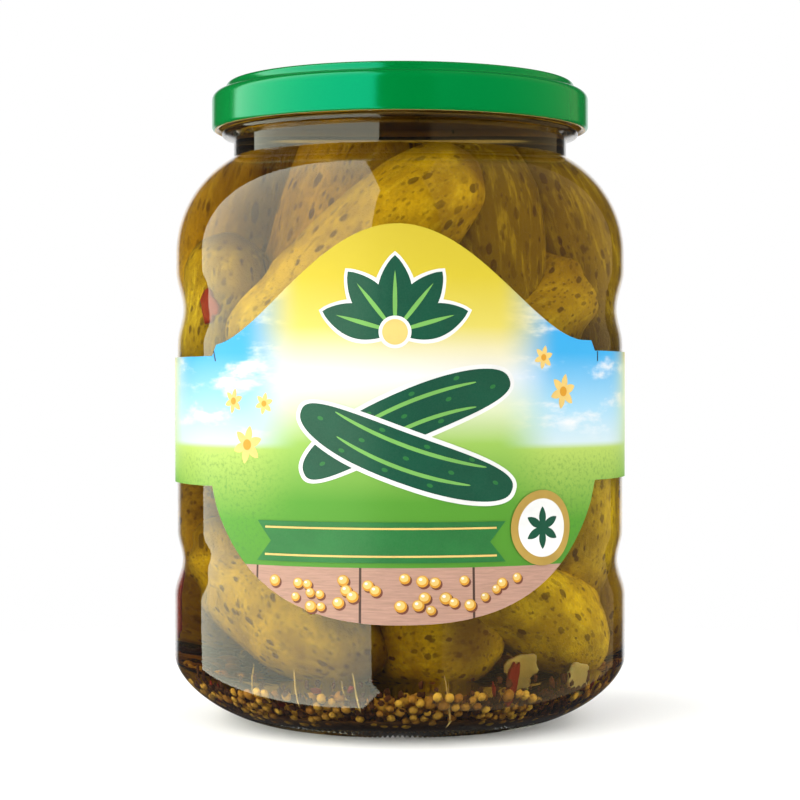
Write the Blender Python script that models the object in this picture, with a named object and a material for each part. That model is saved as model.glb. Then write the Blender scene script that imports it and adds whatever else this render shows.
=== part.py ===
"""A twist-off glass jar of gherkins: ribbed glass jar, painted steel lid, die-cut paper label that wraps
round the jar, and inside it the heap of gherkins, a bed of mustard seeds, and pieces of pepper and onion.

Metres, +Z up. The origin is the middle of the base, and the front of the jar faces -Y.
"""

import math
import random

import bmesh
import bpy
import numpy as np
from mathutils import Vector

MM = 0.001

# Driving sizes, in millimetres
LID_RADIUS = 41.95
LID_BOTTOM = 130.9
LID_TOP = 141.4
LID_SHEET = 0.45
LID_CORNER = 3.4
LID_RING_RADIUS = 35.95
LID_PANEL_DEPTH = 1.1
BUTTON_RADIUS = 12.0
BUTTON_RISE = 0.45
CURL_RADIUS = 0.85
CURL_TURN = 230
LUGS = 6
FIRST_LUG = -63
LUG_SIZE = (9.0, 1.6, 0.9)
LUG_REACH = 39.75
NECK_RADIUS = 37.1
BEAD_RADIUS = 39.75
BEAD_HEIGHT = 130.0
FINISH_RADIUS = 38.6
RIM_TOP = 140.2
RIM_INNER_RADIUS = 34.9
BELLY_RADIUS = 50.1
PANEL_RADIUS = 49.55
SHOULDER_RADIUS = 49.87
PANEL_BOTTOM = 42.6
PANEL_TOP = 83.2
LOWER_BELLY_TOP = 28.4
UPPER_BELLY_BOTTOM = 99.6
GROOVE_DEPTH = 1.4
SHOULDER_START = 103.5
SHOULDER_RISE = 24.4
SHOULDER_REACH = 24.87
FOOT_INNER = 26.5
FOOT_OUTER = 29.0
HEEL_TOP = 14.2
HEEL_POWER = 1.6
PUSH_UP = 3.0
PUSH_UP_RADIUS = 19.0
WALL = 2.7
FLOOR_EDGE = 4.8
FLOOR_MIDDLE = 7.0
RIM_ROUND = 1.0
BEAD_DROP = 1.6
INNER_HEEL_TOP = 17.0
INNER_FOOT = 33.0
SEGMENTS = 48

LABEL_GAP = 0.3
LABEL_SHEET = 0.3
LABEL_SKEW = math.radians(0.7)
BAND_BOTTOM = 53.7
BAND_TOP = 81.0
LOBE_LEFT = -45.3
LOBE_RIGHT = 48.1
LOBE_STEP = 2.2
UPPER_LOBE_TOP = 106.9
UPPER_LOBE_MIDDLE = -0.7
UPPER_LOBE_HALF = 45.0
LOWER_LOBE_BOTTOM = 25.9
LOWER_LOBE_POWER = 2.4
LOWER_LOBE_ROUND = 0.75
SEAM_OVERLAP = 9.0

GAP = 0.3
BED_TOP = 8.0
BED_INNER = 26.5
BED_SIDES = 36
SEED_RADIUS = 1.25
SEED_COUNT = 28
HEAP_FLOOR = 9.6
HEAP_TOP = 127.0

# Each gherkin: azimuth (0 at the front, + to the right), distance of its middle from the jar's axis,
# height, length, thickness, lean (0 upright, 90 lying with its tip to the right), pitch (+ top inwards),
# bow, firmness (1 stays where it is put, 0 gives way to the others)
GHERKINS = (
    (-21, 32, 98.5, 62, 22, 50, 12, 5.0, 1.0),
    (-68, 32, 96, 58, 27, 12, 12, 2.0, 0.9),
    (40, 23, 103, 46, 25, 4, 12, 1.0, 1.0),
    (80, 32, 98, 50, 25, -16, 12, 2.0, 0.8),
    (50, 35, 87, 54, 25, 58, 0, 5.5, 1.0),
    (9, 20, 21.0, 52, 24, 90, -70, 2.0, 1.0),
    (44, 35, 27.5, 54, 21, 122, 0, 4.5, 1.0),
    (-59, 35, 26, 56, 25, -62, 0, 5.0, 1.0),
    (-80, 34, 66, 56, 24, 12, 0, 2.0, 0.8),
    (84, 34, 48, 58, 24, -6, 0, 2.0, 0.7),
    (-40, 33, 66, 50, 22, -10, 0, 2.0, 0.3),
    (4, 33, 60, 50, 23, 8, 0, 2.0, 0.3),
    (118, 34, 42, 60, 24, -10, 0, 2.0, 0.4),
    (152, 34, 44, 62, 25, 8, 0, 2.0, 0.4),
    (186, 34, 40, 58, 23, -10, 0, 2.0, 0.4),
    (220, 34, 44, 62, 25, 10, 0, 2.0, 0.4),
    (252, 34, 38, 54, 23, 14, 0, 2.0, 0.4),
    (118, 32, 97, 52, 24, 12, 12, 2.0, 0.4),
    (156, 32, 98, 54, 25, -10, 12, 2.0, 0.4),
    (194, 32, 97, 54, 23, 14, 12, 2.0, 0.4),
    (232, 32, 98, 54, 25, -10, 12, 2.0, 0.4),
)
STEM_TAPER = 0.12
TIP_POWER = 3.2
RIDGE = 0.03
WALL_GAP = 0.9
SETTLE_STEPS = 160
CORE_PROFILE = ((0.0, 22.0), (18.0, 24.0), (26.0, 34.0), (26.0, 92.0), (20.0, 108.0), (0.0, 112.0))
CORE_SIDES = 16
SPINE_BALLS = 9

# Azimuth, distance from the axis, height, size across, along and through, turn in its own plane
PEPPER_PIECES = (
    (-61, 44.2, 91.0, 6.5, 8.5, 2.0, 25),
    (31, 43.0, 13.6, 2.4, 7.6, 1.6, -12),
    (-82, 45.0, 26.0, 7.0, 14.0, 2.0, 8),
    (152, 43.6, 85.0, 7.0, 9.0, 2.0, -20),
)
ONION_PIECES = (
    (37, 39.0, 15.2, 7.5, 5.5, 1.8, 20),
    (56, 42.4, 13.0, 6.5, 4.6, 2.0, -15),
    (-101, 44.0, 24.0, 7.0, 10.0, 2.0, 12),
)


def clear_scene():
    for obj in list(bpy.data.objects):
        bpy.data.objects.remove(obj)


def material(name, colour, roughness, metallic=0.0, transmission=0.0):
    made = bpy.data.materials.new(name)
    made.use_nodes = True
    shader = made.node_tree.nodes["Principled BSDF"]
    shader.inputs["Base Color"].default_value = (*colour, 1.0)
    shader.inputs["Roughness"].default_value = roughness
    shader.inputs["Metallic"].default_value = metallic
    shader.inputs["Transmission Weight"].default_value = transmission
    made.diffuse_color = (*colour, 1.0)
    return made


def object_of(name, shape, finish):
    """An object for a finished bmesh, which is given in millimetres."""
    bmesh.ops.scale(shape, vec=(MM, MM, MM), verts=shape.verts)
    bmesh.ops.recalc_face_normals(shape, faces=shape.faces)
    mesh = bpy.data.meshes.new(name)
    shape.to_mesh(mesh)
    shape.free()
    mesh.shade_smooth()
    mesh.set_sharp_from_angle(angle=math.radians(40))
    mesh.materials.append(finish)
    made = bpy.data.objects.new(name, mesh)
    bpy.context.scene.collection.objects.link(made)
    return made


def turned(profile, segments=SEGMENTS, loop=False):
    """The surface that a line of (radius, height) points sweeps round the Z axis. Both its ends lie on the
    axis, or it closes on itself."""
    shape = bmesh.new()
    rings = []
    for radius, height in profile:
        if radius < 1e-6:
            rings.append([shape.verts.new((0, 0, height))])
            continue
        ring = []
        for i in range(segments):
            angle = 2 * math.pi * i / segments
            ring.append(shape.verts.new((radius * math.cos(angle), radius * math.sin(angle), height)))
        rings.append(ring)
    for low, high in zip(rings, rings[1:] + rings[:1] * loop):
        for i in range(segments):
            j = (i + 1) % segments
            corners = [low[i % len(low)], low[j % len(low)], high[j % len(high)], high[i % len(high)]]
            shape.faces.new(list(dict.fromkeys(corners)))
    return shape


def groove(low, high, low_radius, high_radius, steps=4):
    """A smooth dip between two heights, with the radius going from one stretch's to the other's."""
    points = []
    for i in range(steps + 1):
        share = i / steps
        dip = GROOVE_DEPTH * (1 - math.cos(2 * math.pi * share)) / 2
        radius = low_radius + (high_radius - low_radius) * share - dip
        points.append((radius, low + (high - low) * share))
    return points


def heel(foot, radius, bottom, top, power, steps):
    """The rounded corner between the floor and the side, as a superellipse."""
    points = []
    for i in range(steps + 1):
        turn = math.pi / 2 * i / steps
        across = math.sin(turn) ** (2 / power)
        up = 1 - math.cos(turn) ** (2 / power)
        points.append((foot + (radius - foot) * across, bottom + (top - bottom) * up))
    return points


def shoulder(reach_radius, reach, rise, end_radius, steps):
    """The domed shoulder, an ellipse that stops where it meets the neck."""
    start = reach_radius - reach
    last = math.acos((end_radius - start) / reach)
    points = []
    for i in range(steps + 1):
        turn = last * i / steps
        points.append((start + reach * math.cos(turn), SHOULDER_START + rise * math.sin(turn)))
    return points


def jar_side():
    """The outside of the jar from the foot to the neck."""
    points = heel(FOOT_OUTER, BELLY_RADIUS, 0.0, HEEL_TOP, HEEL_POWER, 6)
    points += groove(LOWER_BELLY_TOP, PANEL_BOTTOM, BELLY_RADIUS, PANEL_RADIUS)
    points += groove(PANEL_TOP, UPPER_BELLY_BOTTOM, PANEL_RADIUS, SHOULDER_RADIUS)
    points += shoulder(SHOULDER_RADIUS, SHOULDER_REACH, SHOULDER_RISE, NECK_RADIUS, 6)
    return points


def jar_inside():
    """The inside of the jar from the floor's edge to the neck."""
    points = heel(INNER_FOOT, BELLY_RADIUS - WALL, FLOOR_EDGE, INNER_HEEL_TOP, 2.0, 4)
    points += groove(LOWER_BELLY_TOP, PANEL_BOTTOM, BELLY_RADIUS - WALL, PANEL_RADIUS - WALL, 3)
    points += groove(PANEL_TOP, UPPER_BELLY_BOTTOM, PANEL_RADIUS - WALL, SHOULDER_RADIUS - WALL, 3)
    points += shoulder(
        SHOULDER_RADIUS - WALL, SHOULDER_REACH - WALL, SHOULDER_RISE - WALL, NECK_RADIUS - WALL, 4
    )
    return points


def make_jar(glass):
    """The jar: pushed-up base, side, the bead under the lid, the rim, and the inside down to the floor."""
    base = [(0.0, PUSH_UP), (PUSH_UP_RADIUS, PUSH_UP * 0.75), (FOOT_INNER, 0.0)]
    bead = [
        (NECK_RADIUS, BEAD_HEIGHT - BEAD_DROP),
        (BEAD_RADIUS, BEAD_HEIGHT - BEAD_DROP * 0.3),
        (BEAD_RADIUS - BEAD_DROP * 0.4, BEAD_HEIGHT + BEAD_DROP * 0.4),
        (FINISH_RADIUS, BEAD_HEIGHT + BEAD_DROP * 0.6),
    ]
    rim = [
        (FINISH_RADIUS, RIM_TOP - RIM_ROUND),
        (FINISH_RADIUS - RIM_ROUND, RIM_TOP),
        (RIM_INNER_RADIUS + RIM_ROUND, RIM_TOP),
        (RIM_INNER_RADIUS, RIM_TOP - RIM_ROUND),
    ]
    floor = [(INNER_FOOT * 0.6, (FLOOR_EDGE + 2 * FLOOR_MIDDLE) / 3), (0.0, FLOOR_MIDDLE)]
    profile = base + jar_side() + bead + rim + jar_inside()[::-1] + floor
    return object_of("jar", turned(profile), glass)


def arc(middle_radius, middle_height, radius, start, end, steps):
    """Points of a round stretch of a profile. Angles are in degrees, 0 outwards and 90 upwards."""
    points = []
    for i in range(steps + 1):
        angle = math.radians(start + (end - start) * i / steps)
        points.append(
            (middle_radius + radius * math.cos(angle), middle_height + radius * math.sin(angle))
        )
    return points


def make_lid(steel):
    """The lid's shell: button, panel, raised ring, rounded corner, skirt and the curl at its edge, with the
    lugs pressed inwards from the curl."""
    ring, panel = LID_RING_RADIUS, LID_TOP - LID_PANEL_DEPTH
    corner_radius, corner_height = LID_RADIUS - LID_CORNER, LID_TOP - LID_CORNER
    curl_radius, curl_height = LID_RADIUS - CURL_RADIUS, LID_BOTTOM + CURL_RADIUS
    outside = [
        (0.0, panel + BUTTON_RISE),
        (BUTTON_RADIUS, panel + BUTTON_RISE * 0.8),
        (BUTTON_RADIUS + 2.0, panel),
        (ring - 2.0, panel),
        (ring - 0.4, LID_TOP - 0.2),
        (ring + 0.6, LID_TOP),
    ]
    outside += arc(corner_radius, corner_height, LID_CORNER, 90, 0, 4)
    curl = arc(curl_radius, curl_height, CURL_RADIUS, 0, -CURL_TURN, 6)
    inside = [(LID_RADIUS - LID_SHEET, curl_height + 1.0)]
    inside += arc(corner_radius, corner_height, LID_CORNER - LID_SHEET, 0, 90, 2)
    inside += [
        (ring + 0.6, LID_TOP - LID_SHEET),
        (ring - 1.8, panel - LID_SHEET),
        (0.0, panel - LID_SHEET),
    ]
    lid = object_of("lid", turned(outside + curl + inside), steel)
    lugs = bpy.data.collections.new("lug_shapes")
    for i in range(LUGS):
        azimuth = math.radians(FIRST_LUG + 360 / LUGS * i)
        shape = bmesh.new()
        bmesh.ops.create_cube(shape, size=1.0)
        bmesh.ops.scale(shape, vec=LUG_SIZE, verts=shape.verts)
        height = curl_height + 0.35
        place = (LUG_REACH * math.sin(azimuth), -LUG_REACH * math.cos(azimuth), height)
        move_to(object_of("lug", shape, steel), lugs, place, (0, 0, azimuth))
    join(lid, lugs)
    return lid


def move_to(piece, collection, place, turn=(0, 0, 0)):
    """Puts a piece in a collection, at a place in millimetres."""
    piece.location = Vector(place) * MM
    piece.rotation_euler = turn
    bpy.context.scene.collection.objects.unlink(piece)
    collection.objects.link(piece)


def join(base, collection):
    """One Boolean union of the base with everything in the collection, which is then removed."""
    bpy.context.scene.collection.children.link(collection)
    union = base.modifiers.new("union", "BOOLEAN")
    union.operation = "UNION"
    union.operand_type = "COLLECTION"
    union.collection = collection
    union.solver = "EXACT"
    bpy.context.view_layer.update()
    graph = bpy.context.evaluated_depsgraph_get()
    joined = bpy.data.meshes.new_from_object(base.evaluated_get(graph), depsgraph=graph)
    base.modifiers.clear()
    base.data = joined
    for obj in list(collection.objects):
        bpy.data.objects.remove(obj)
    bpy.data.collections.remove(collection)


def sheet_radius(height):
    """The radius of the paper at a height: the jar's side with its two grooves bridged."""
    side = [p for p in jar_side() if p[1] < LOWER_BELLY_TOP + 0.1 or p[1] > UPPER_BELLY_BOTTOM - 0.1]
    side += [(PANEL_RADIUS, PANEL_BOTTOM), (PANEL_RADIUS, PANEL_TOP)]
    side.sort(key=lambda p: p[1])
    return float(np.interp(height, [p[1] for p in side], [p[0] for p in side]))


def strip_faces(shape, inner, outer, columns, rows):
    """Faces on both sides of a thin sheet of points, and round its four edges."""
    for i in range(columns):
        for j in range(rows):
            for grid in (inner, outer):
                shape.faces.new([grid[i][j], grid[i + 1][j], grid[i + 1][j + 1], grid[i][j + 1]])
    edge = [(i, 0) for i in range(columns)] + [(columns, j) for j in range(rows)]
    edge += [(i, rows) for i in range(columns, 0, -1)] + [(0, j) for j in range(rows, 0, -1)]
    for (a, b), (c, d) in zip(edge, edge[1:] + edge[:1]):
        shape.faces.new([inner[a][b], inner[c][d], outer[c][d], outer[a][b]])


def label_edges(across):
    """The lower and upper edge of the label at a distance along the paper from the middle of the front."""
    skew = math.tan(LABEL_SKEW) * max(-50.0, min(50.0, across))
    top, bottom = BAND_TOP, BAND_BOTTOM
    if LOBE_LEFT < across < LOBE_RIGHT:
        off = min(1.0, abs(across - UPPER_LOBE_MIDDLE) / UPPER_LOBE_HALF)
        top += LOBE_STEP
        top += (UPPER_LOBE_TOP - top) * (1 + math.cos(math.pi * off)) / 2
        middle, half = (LOBE_LEFT + LOBE_RIGHT) / 2, (LOBE_RIGHT - LOBE_LEFT) / 2
        off = abs(across - middle) / half
        bottom -= (BAND_BOTTOM - LOWER_LOBE_BOTTOM) * (1 - off**LOWER_LOBE_POWER) ** LOWER_LOBE_ROUND
    return bottom + skew, top + skew


def make_label(paper):
    """The paper: a band right round the jar with a lobe above and below at the front, its ends lapped at
    the back."""
    radius = PANEL_RADIUS + LABEL_GAP
    half = math.pi * radius
    columns, rows = 96, 9
    shape = bmesh.new()
    sides = []
    for side in (0.0, LABEL_SHEET):
        grid = []
        for i in range(columns + 1):
            across = -half + (2 * half + SEAM_OVERLAP) * i / columns
            bottom, top = label_edges(across)
            lift = (LABEL_SHEET + GAP) * min(1.0, max(0.0, (across - half + 4.0) / 4.0))
            angle = across / radius
            line = []
            for j in range(rows + 1):
                height = bottom + (top - bottom) * j / rows
                out = sheet_radius(height) + LABEL_GAP + lift + side
                line.append(shape.verts.new((out * math.sin(angle), -out * math.cos(angle), height)))
            grid.append(line)
        sides.append(grid)
    strip_faces(shape, *sides, columns, rows)
    return object_of("label", shape, paper)


def gherkin_axes(azimuth, lean, pitch):
    """The directions along a gherkin and out of the jar."""
    turn, lean, pitch = (math.radians(a) for a in (azimuth, lean, pitch))
    out = Vector((math.sin(turn), -math.cos(turn), 0))
    right = Vector((math.cos(turn), math.sin(turn), 0))
    up = Vector((0, 0, 1))
    along = (up * math.cos(lean) + right * math.sin(lean)) * math.cos(pitch) - out * math.sin(pitch)
    return along.normalized(), out


def gherkin_spine(middle, gherkin, share):
    """A point of the gherkin's bowed centreline, share going from -1 at the stem to 1 at the tip."""
    azimuth, _, _, length, thick, lean, pitch, bow, _ = gherkin
    along, out = gherkin_axes(azimuth, lean, pitch)
    return middle + along * (length / 2 * share) + out * bow * (0.4 - share * share)


def gherkin_girth(gherkin, share):
    """The radius at that point: round at both ends and a little slimmer towards the stem."""
    slim = 1 - STEM_TAPER * (1 - share) / 2
    return gherkin[4] / 2 * slim * max(0.0, 1 - abs(share) ** TIP_POWER) ** 0.5


def settled():
    """The middles of the gherkins once those that overlap have pushed each other apart, inside the jar."""
    places = []
    for azimuth, reach, height, *_ in GHERKINS:
        turn = math.radians(azimuth)
        places.append((reach * math.sin(turn), -reach * math.cos(turn), height))
    places = np.array(places)
    shares = np.linspace(-0.86, 0.86, SPINE_BALLS)
    spines = np.array([[gherkin_spine(Vector(), g, s) for s in shares] for g in GHERKINS])
    girths = np.array([[gherkin_girth(g, s) for s in shares] for g in GHERKINS]) * (1 + RIDGE)
    give = 1 - np.array([g[8] for g in GHERKINS])
    wall_radii, wall_heights = np.array(jar_inside()).T
    for _ in range(SETTLE_STEPS):
        balls = places[:, None] + spines
        push = np.zeros_like(places)
        for i in range(len(GHERKINS)):
            for j in range(i + 1, len(GHERKINS)):
                apart = balls[i][:, None] - balls[j][None]
                distance = np.linalg.norm(apart, axis=2) + 1e-9
                depth = girths[i][:, None] + girths[j][None] - distance
                k = np.unravel_index(np.argmax(depth), depth.shape)
                if depth[k] > 0:
                    step = apart[k] / distance[k] * depth[k] / 2
                    push[i] += step * give[i]
                    push[j] -= step * give[j]
        places = places + 0.5 * push
        balls = places[:, None] + spines
        out = np.hypot(balls[..., 0], balls[..., 1])
        inward = -places[:, :2] / np.linalg.norm(places[:, :2], axis=1, keepdims=True)
        for angle in (-0.9, -0.45, 0.0, 0.45, 0.9):
            wall = np.interp(balls[..., 2] + girths * math.sin(angle), wall_heights, wall_radii)
            over = out + girths * math.cos(angle) - (wall - WALL_GAP)
            places[:, :2] += inward * np.maximum(0, over.max(axis=1))[:, None]
        places[:, 2] += np.maximum(0, HEAP_FLOOR - (balls[..., 2] - girths).min(axis=1))
        places[:, 2] -= np.maximum(0, (balls[..., 2] + girths).max(axis=1) - HEAP_TOP)
    return [Vector(p) for p in places]


def gherkin_shape(middle, gherkin, sides=10, rings=8):
    """A closed gherkin with a faintly three-sided section."""
    azimuth, _, _, _, _, lean, pitch, _, _ = gherkin
    along, out = gherkin_axes(azimuth, lean, pitch)
    across = along.cross(out).normalized()
    out = across.cross(along).normalized()
    shape = bmesh.new()
    lines = []
    for i in range(rings + 1):
        share = -math.cos(math.pi * i / rings)
        point = gherkin_spine(middle, gherkin, share)
        if i in (0, rings):
            lines.append([shape.verts.new(point)])
            continue
        girth = gherkin_girth(gherkin, share)
        line = []
        for j in range(sides):
            turn = 2 * math.pi * j / sides
            reach = girth * (1 + RIDGE * math.cos(3 * turn + azimuth))
            line.append(shape.verts.new(point + (out * math.cos(turn) + across * math.sin(turn)) * reach))
        lines.append(line)
    for low, high in zip(lines, lines[1:]):
        for j in range(sides):
            k = (j + 1) % sides
            corners = [low[j % len(low)], low[k % len(low)], high[k % len(high)], high[j % len(high)]]
            shape.faces.new(list(dict.fromkeys(corners)))
    return shape


def make_gherkins(skin):
    """The heap of gherkins, fused to a slim core that stands in for the ones that can't be seen."""
    heap = object_of("gherkins", turned(CORE_PROFILE, CORE_SIDES), skin)
    shapes = bpy.data.collections.new("gherkin_shapes")
    for middle, gherkin in zip(settled(), GHERKINS):
        move_to(object_of("gherkin", gherkin_shape(middle, gherkin), skin), shapes, (0, 0, 0))
    join(heap, shapes)
    return heap


def make_seed_bed(seeds):
    """The ring of mustard seeds and spice that has sunk into the corner of the floor."""
    radii, heights = zip(*heel(INNER_FOOT, BELLY_RADIUS - WALL, FLOOR_EDGE, INNER_HEEL_TOP, 2.0, 12))
    outer = float(np.interp(BED_TOP, heights, radii)) - GAP * 2.4
    corner = float(np.interp(BED_TOP - 1.4, heights, radii)) - GAP * 3
    profile = [
        (BED_INNER, FLOOR_EDGE + 1.75),
        (INNER_FOOT - 1.0, FLOOR_EDGE + 0.5),
        (corner, BED_TOP - 1.2),
        (outer, BED_TOP),
        (outer - 3.0, BED_TOP - 0.2),
        (BED_INNER + 1.5, BED_TOP - 0.3),
    ]
    bed = object_of("mustard_seeds", turned(profile, BED_SIDES, loop=True), seeds)
    draw = random.Random(7)
    grains = bpy.data.collections.new("seed_shapes")
    for i in range(SEED_COUNT):
        azimuth = 2 * math.pi * (i + draw.uniform(-0.3, 0.3)) / SEED_COUNT
        reach = draw.uniform(BED_INNER + 5.0, outer - SEED_RADIUS - GAP * 2)
        grain = bmesh.new()
        bmesh.ops.create_uvsphere(
            grain, u_segments=6, v_segments=4, radius=SEED_RADIUS * draw.uniform(0.85, 1.0)
        )
        place = (reach * math.sin(azimuth), -reach * math.cos(azimuth), BED_TOP - 0.35)
        turn = (draw.uniform(0, 3), draw.uniform(0, 3), 0)
        move_to(object_of("seed", grain, seeds), grains, place, turn)
    join(bed, grains)
    return bed


def make_slice(name, place, finish):
    """A flat cut piece, bent along the glass and with rounded corners."""
    azimuth, reach, height, wide, tall, thick, turn = place
    shape = bmesh.new()
    columns, rows = 4, 4
    angle = math.radians(azimuth)
    spin = math.radians(turn)
    sides = []
    for side in (-0.5, 0.5):
        grid = []
        for i in range(columns + 1):
            line = []
            for j in range(rows + 1):
                u, v = 2 * i / columns - 1, 2 * j / rows - 1
                round_off = 1 - 0.16 * u * u * v * v
                x, y = u * wide / 2 * round_off, v * tall / 2 * round_off
                along = x * math.cos(spin) - y * math.sin(spin)
                up = x * math.sin(spin) + y * math.cos(spin)
                bend = angle + along / reach
                out = reach + side * thick * (1 - 0.25 * max(u * u, v * v))
                line.append(shape.verts.new((out * math.sin(bend), -out * math.cos(bend), height + up)))
            grid.append(line)
        sides.append(grid)
    strip_faces(shape, *sides, columns, rows)
    return object_of(name, shape, finish)


def main():
    clear_scene()
    make_jar(material("clear_glass", (0.95, 0.97, 0.95), 0.02, transmission=1.0))
    make_lid(material("green_enamel", (0.0, 0.36, 0.14), 0.3))
    make_label(material("label_paper", (0.62, 0.76, 0.36), 0.45))
    make_gherkins(material("gherkin_skin", (0.33, 0.27, 0.05), 0.45))
    make_seed_bed(material("mustard_seed", (0.62, 0.42, 0.12), 0.5))
    red = material("red_pepper", (0.55, 0.04, 0.02), 0.35)
    for number, place in enumerate(PEPPER_PIECES, 1):
        make_slice(f"pepper_piece_{number}", place, red)
    pale = material("onion", (0.75, 0.70, 0.48), 0.4)
    for number, place in enumerate(ONION_PIECES, 1):
        make_slice(f"onion_piece_{number}", place, pale)


if __name__ == "__main__":
    main()
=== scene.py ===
"""A twist-off jar of gherkins in brine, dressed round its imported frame: ribbed glass, painted steel lid and
printed paper label, and inside it the gherkins, mustard seeds and spice, with pieces of pepper and onion.

Sizes are in millimetres unless they say otherwise, and the meshes are in metres. The front faces -Y.
"""

import math
import random

import bpy
import numpy as np
from bpy.props import FloatProperty, FloatVectorProperty, IntProperty, PointerProperty
from mathutils import Matrix, Vector, noise


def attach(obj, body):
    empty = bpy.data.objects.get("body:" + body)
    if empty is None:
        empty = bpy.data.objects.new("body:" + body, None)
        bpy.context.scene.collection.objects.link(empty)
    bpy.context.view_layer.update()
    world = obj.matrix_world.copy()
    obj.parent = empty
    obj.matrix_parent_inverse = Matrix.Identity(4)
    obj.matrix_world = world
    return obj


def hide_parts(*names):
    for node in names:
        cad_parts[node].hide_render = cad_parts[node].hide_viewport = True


bl_info = {
    "name": "Gherkin Jar",
    "version": (1, 0, 0),
    "blender": (4, 5, 0),
    "location": "View3D > Sidebar > Gherkin Jar",
    "description": "Models a twist-off jar of gherkins round its packed frame, and its studio",
    "category": "Object",
}

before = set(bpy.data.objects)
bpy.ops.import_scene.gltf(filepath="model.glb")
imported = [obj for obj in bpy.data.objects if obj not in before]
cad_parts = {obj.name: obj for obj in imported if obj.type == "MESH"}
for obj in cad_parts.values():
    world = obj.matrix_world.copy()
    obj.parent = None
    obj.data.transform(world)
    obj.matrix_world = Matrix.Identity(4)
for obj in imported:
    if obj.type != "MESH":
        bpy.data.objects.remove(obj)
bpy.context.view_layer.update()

MM = 0.001

# The jar, as in the frame
LID_RADIUS = 41.95
LID_BOTTOM = 130.9
LID_TOP = 141.4
LID_SHEET = 0.45
LID_RING_RADIUS = 35.95
LID_PANEL_DEPTH = 1.1
BUTTON_RADIUS = 12.0
BUTTON_RISE = 0.45
CURL_RADIUS = 0.85
CURL_TURN = 230
LUGS = 6
FIRST_LUG = -63
LUG_SIZE = (9.0, 1.6, 0.9)
LUG_REACH = 39.75
NECK_RADIUS = 37.1
BEAD_RADIUS = 39.75
BEAD_HEIGHT = 130.0
FINISH_RADIUS = 38.6
RIM_TOP = 140.2
RIM_INNER_RADIUS = 34.9
BELLY_RADIUS = 50.1
PANEL_RADIUS = 49.55
SHOULDER_RADIUS = 49.87
PANEL_BOTTOM = 42.6
PANEL_TOP = 83.2
LOWER_BELLY_TOP = 28.4
UPPER_BELLY_BOTTOM = 99.6
GROOVE_DEPTH = 1.4
SHOULDER_START = 103.5
SHOULDER_RISE = 24.4
SHOULDER_REACH = 24.87
FOOT_INNER = 26.5
FOOT_OUTER = 29.0
HEEL_TOP = 14.2
HEEL_POWER = 1.6
PUSH_UP = 3.0
WALL = 2.7
FLOOR_EDGE = 4.8
FLOOR_MIDDLE = 7.0
RIM_ROUND = 1.0
INNER_HEEL_TOP = 17.0
INNER_FOOT = 33.0
# Points along the heel, a groove and the shoulder
COARSE_STEPS = (4, 3, 4)
FINE_STEPS = (26, 14, 24)

# The jar's finer forms, left to this scene
FOOT_ROUND = 0.15
VISIBLE_BEAD_RADIUS = 0.85
VISIBLE_BEAD_HEIGHT = 130.2
KNURL_START = 27.8
KNURL_REACH = 11.0
KNURL_TOP = 3.2
BRINE_INTO_WALL = 0.15
BRINE_SEGMENTS = 160
LID_SHELF = LID_TOP - 2.0
LID_SHELF_CORNER = 1.9
LID_SEGMENTS = 240
SEAL_RADIUS = 1.6
SEAL_HEIGHT = 0.32
SEAL_SQUASH = 0.22

# The label, as in the frame
LABEL_SKEW = math.radians(0.7)
BAND_BOTTOM = 53.7
BAND_TOP = 81.0
LOBE_LEFT = -45.3
LOBE_RIGHT = 48.1
LOBE_STEP = 2.2
UPPER_LOBE_TOP = 106.9
UPPER_LOBE_MIDDLE = -0.7
UPPER_LOBE_HALF = 45.0
LOWER_LOBE_BOTTOM = 25.9
LOWER_LOBE_POWER = 2.4
LOWER_LOBE_ROUND = 0.75
SEAM_OVERLAP = 9.0
LABEL_OUT = 0.5
LABEL_PAPER = 0.3
LABEL_HALF = math.pi * (PANEL_RADIUS + 0.3)
STEP_SLANT = 1.5

# The label's finer forms, left to this scene
LABEL_GRID = (420, 44)
LAP_RISE = 0.45
LAP_SLOPE = 4.0
PRINT_LIFT = 0.016
PRINT_STRIP = 1.5
WOOD_TOP = 37.4
BOARD_WIDTH = 23.0
BACK_PANEL_START = 96.0
# How much darker the paper and the inks are than the colours in the settings
PAPER_TONE = (0.56, 0.56, 0.56)
INK_TONE = 0.6
# The soft gloss that paper and inks share
PRINTED = {"Coat_Weight": 0.2, "Coat_Roughness": 0.28, "Specular_IOR_Level": 0.1}
# The length and height of paper that the label's map holds
MAP_ACROSS = 330.0
MAP_HEIGHT = 120.0

# The studio, in metres, and the parts of the backdrop's direction between which it fades
FLOOR_END = 1.2
PANEL_DISTANCE = 0.75
PANEL_HEIGHT = 9.0
LEFT_PANEL = (-3.0, 0.37)
RIGHT_PANEL = (-2.05, 0.75)
BACKDROP_EDGE = (0.89, 0.95)
BACKDROP_FOOT = (-0.22, -0.12)

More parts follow.
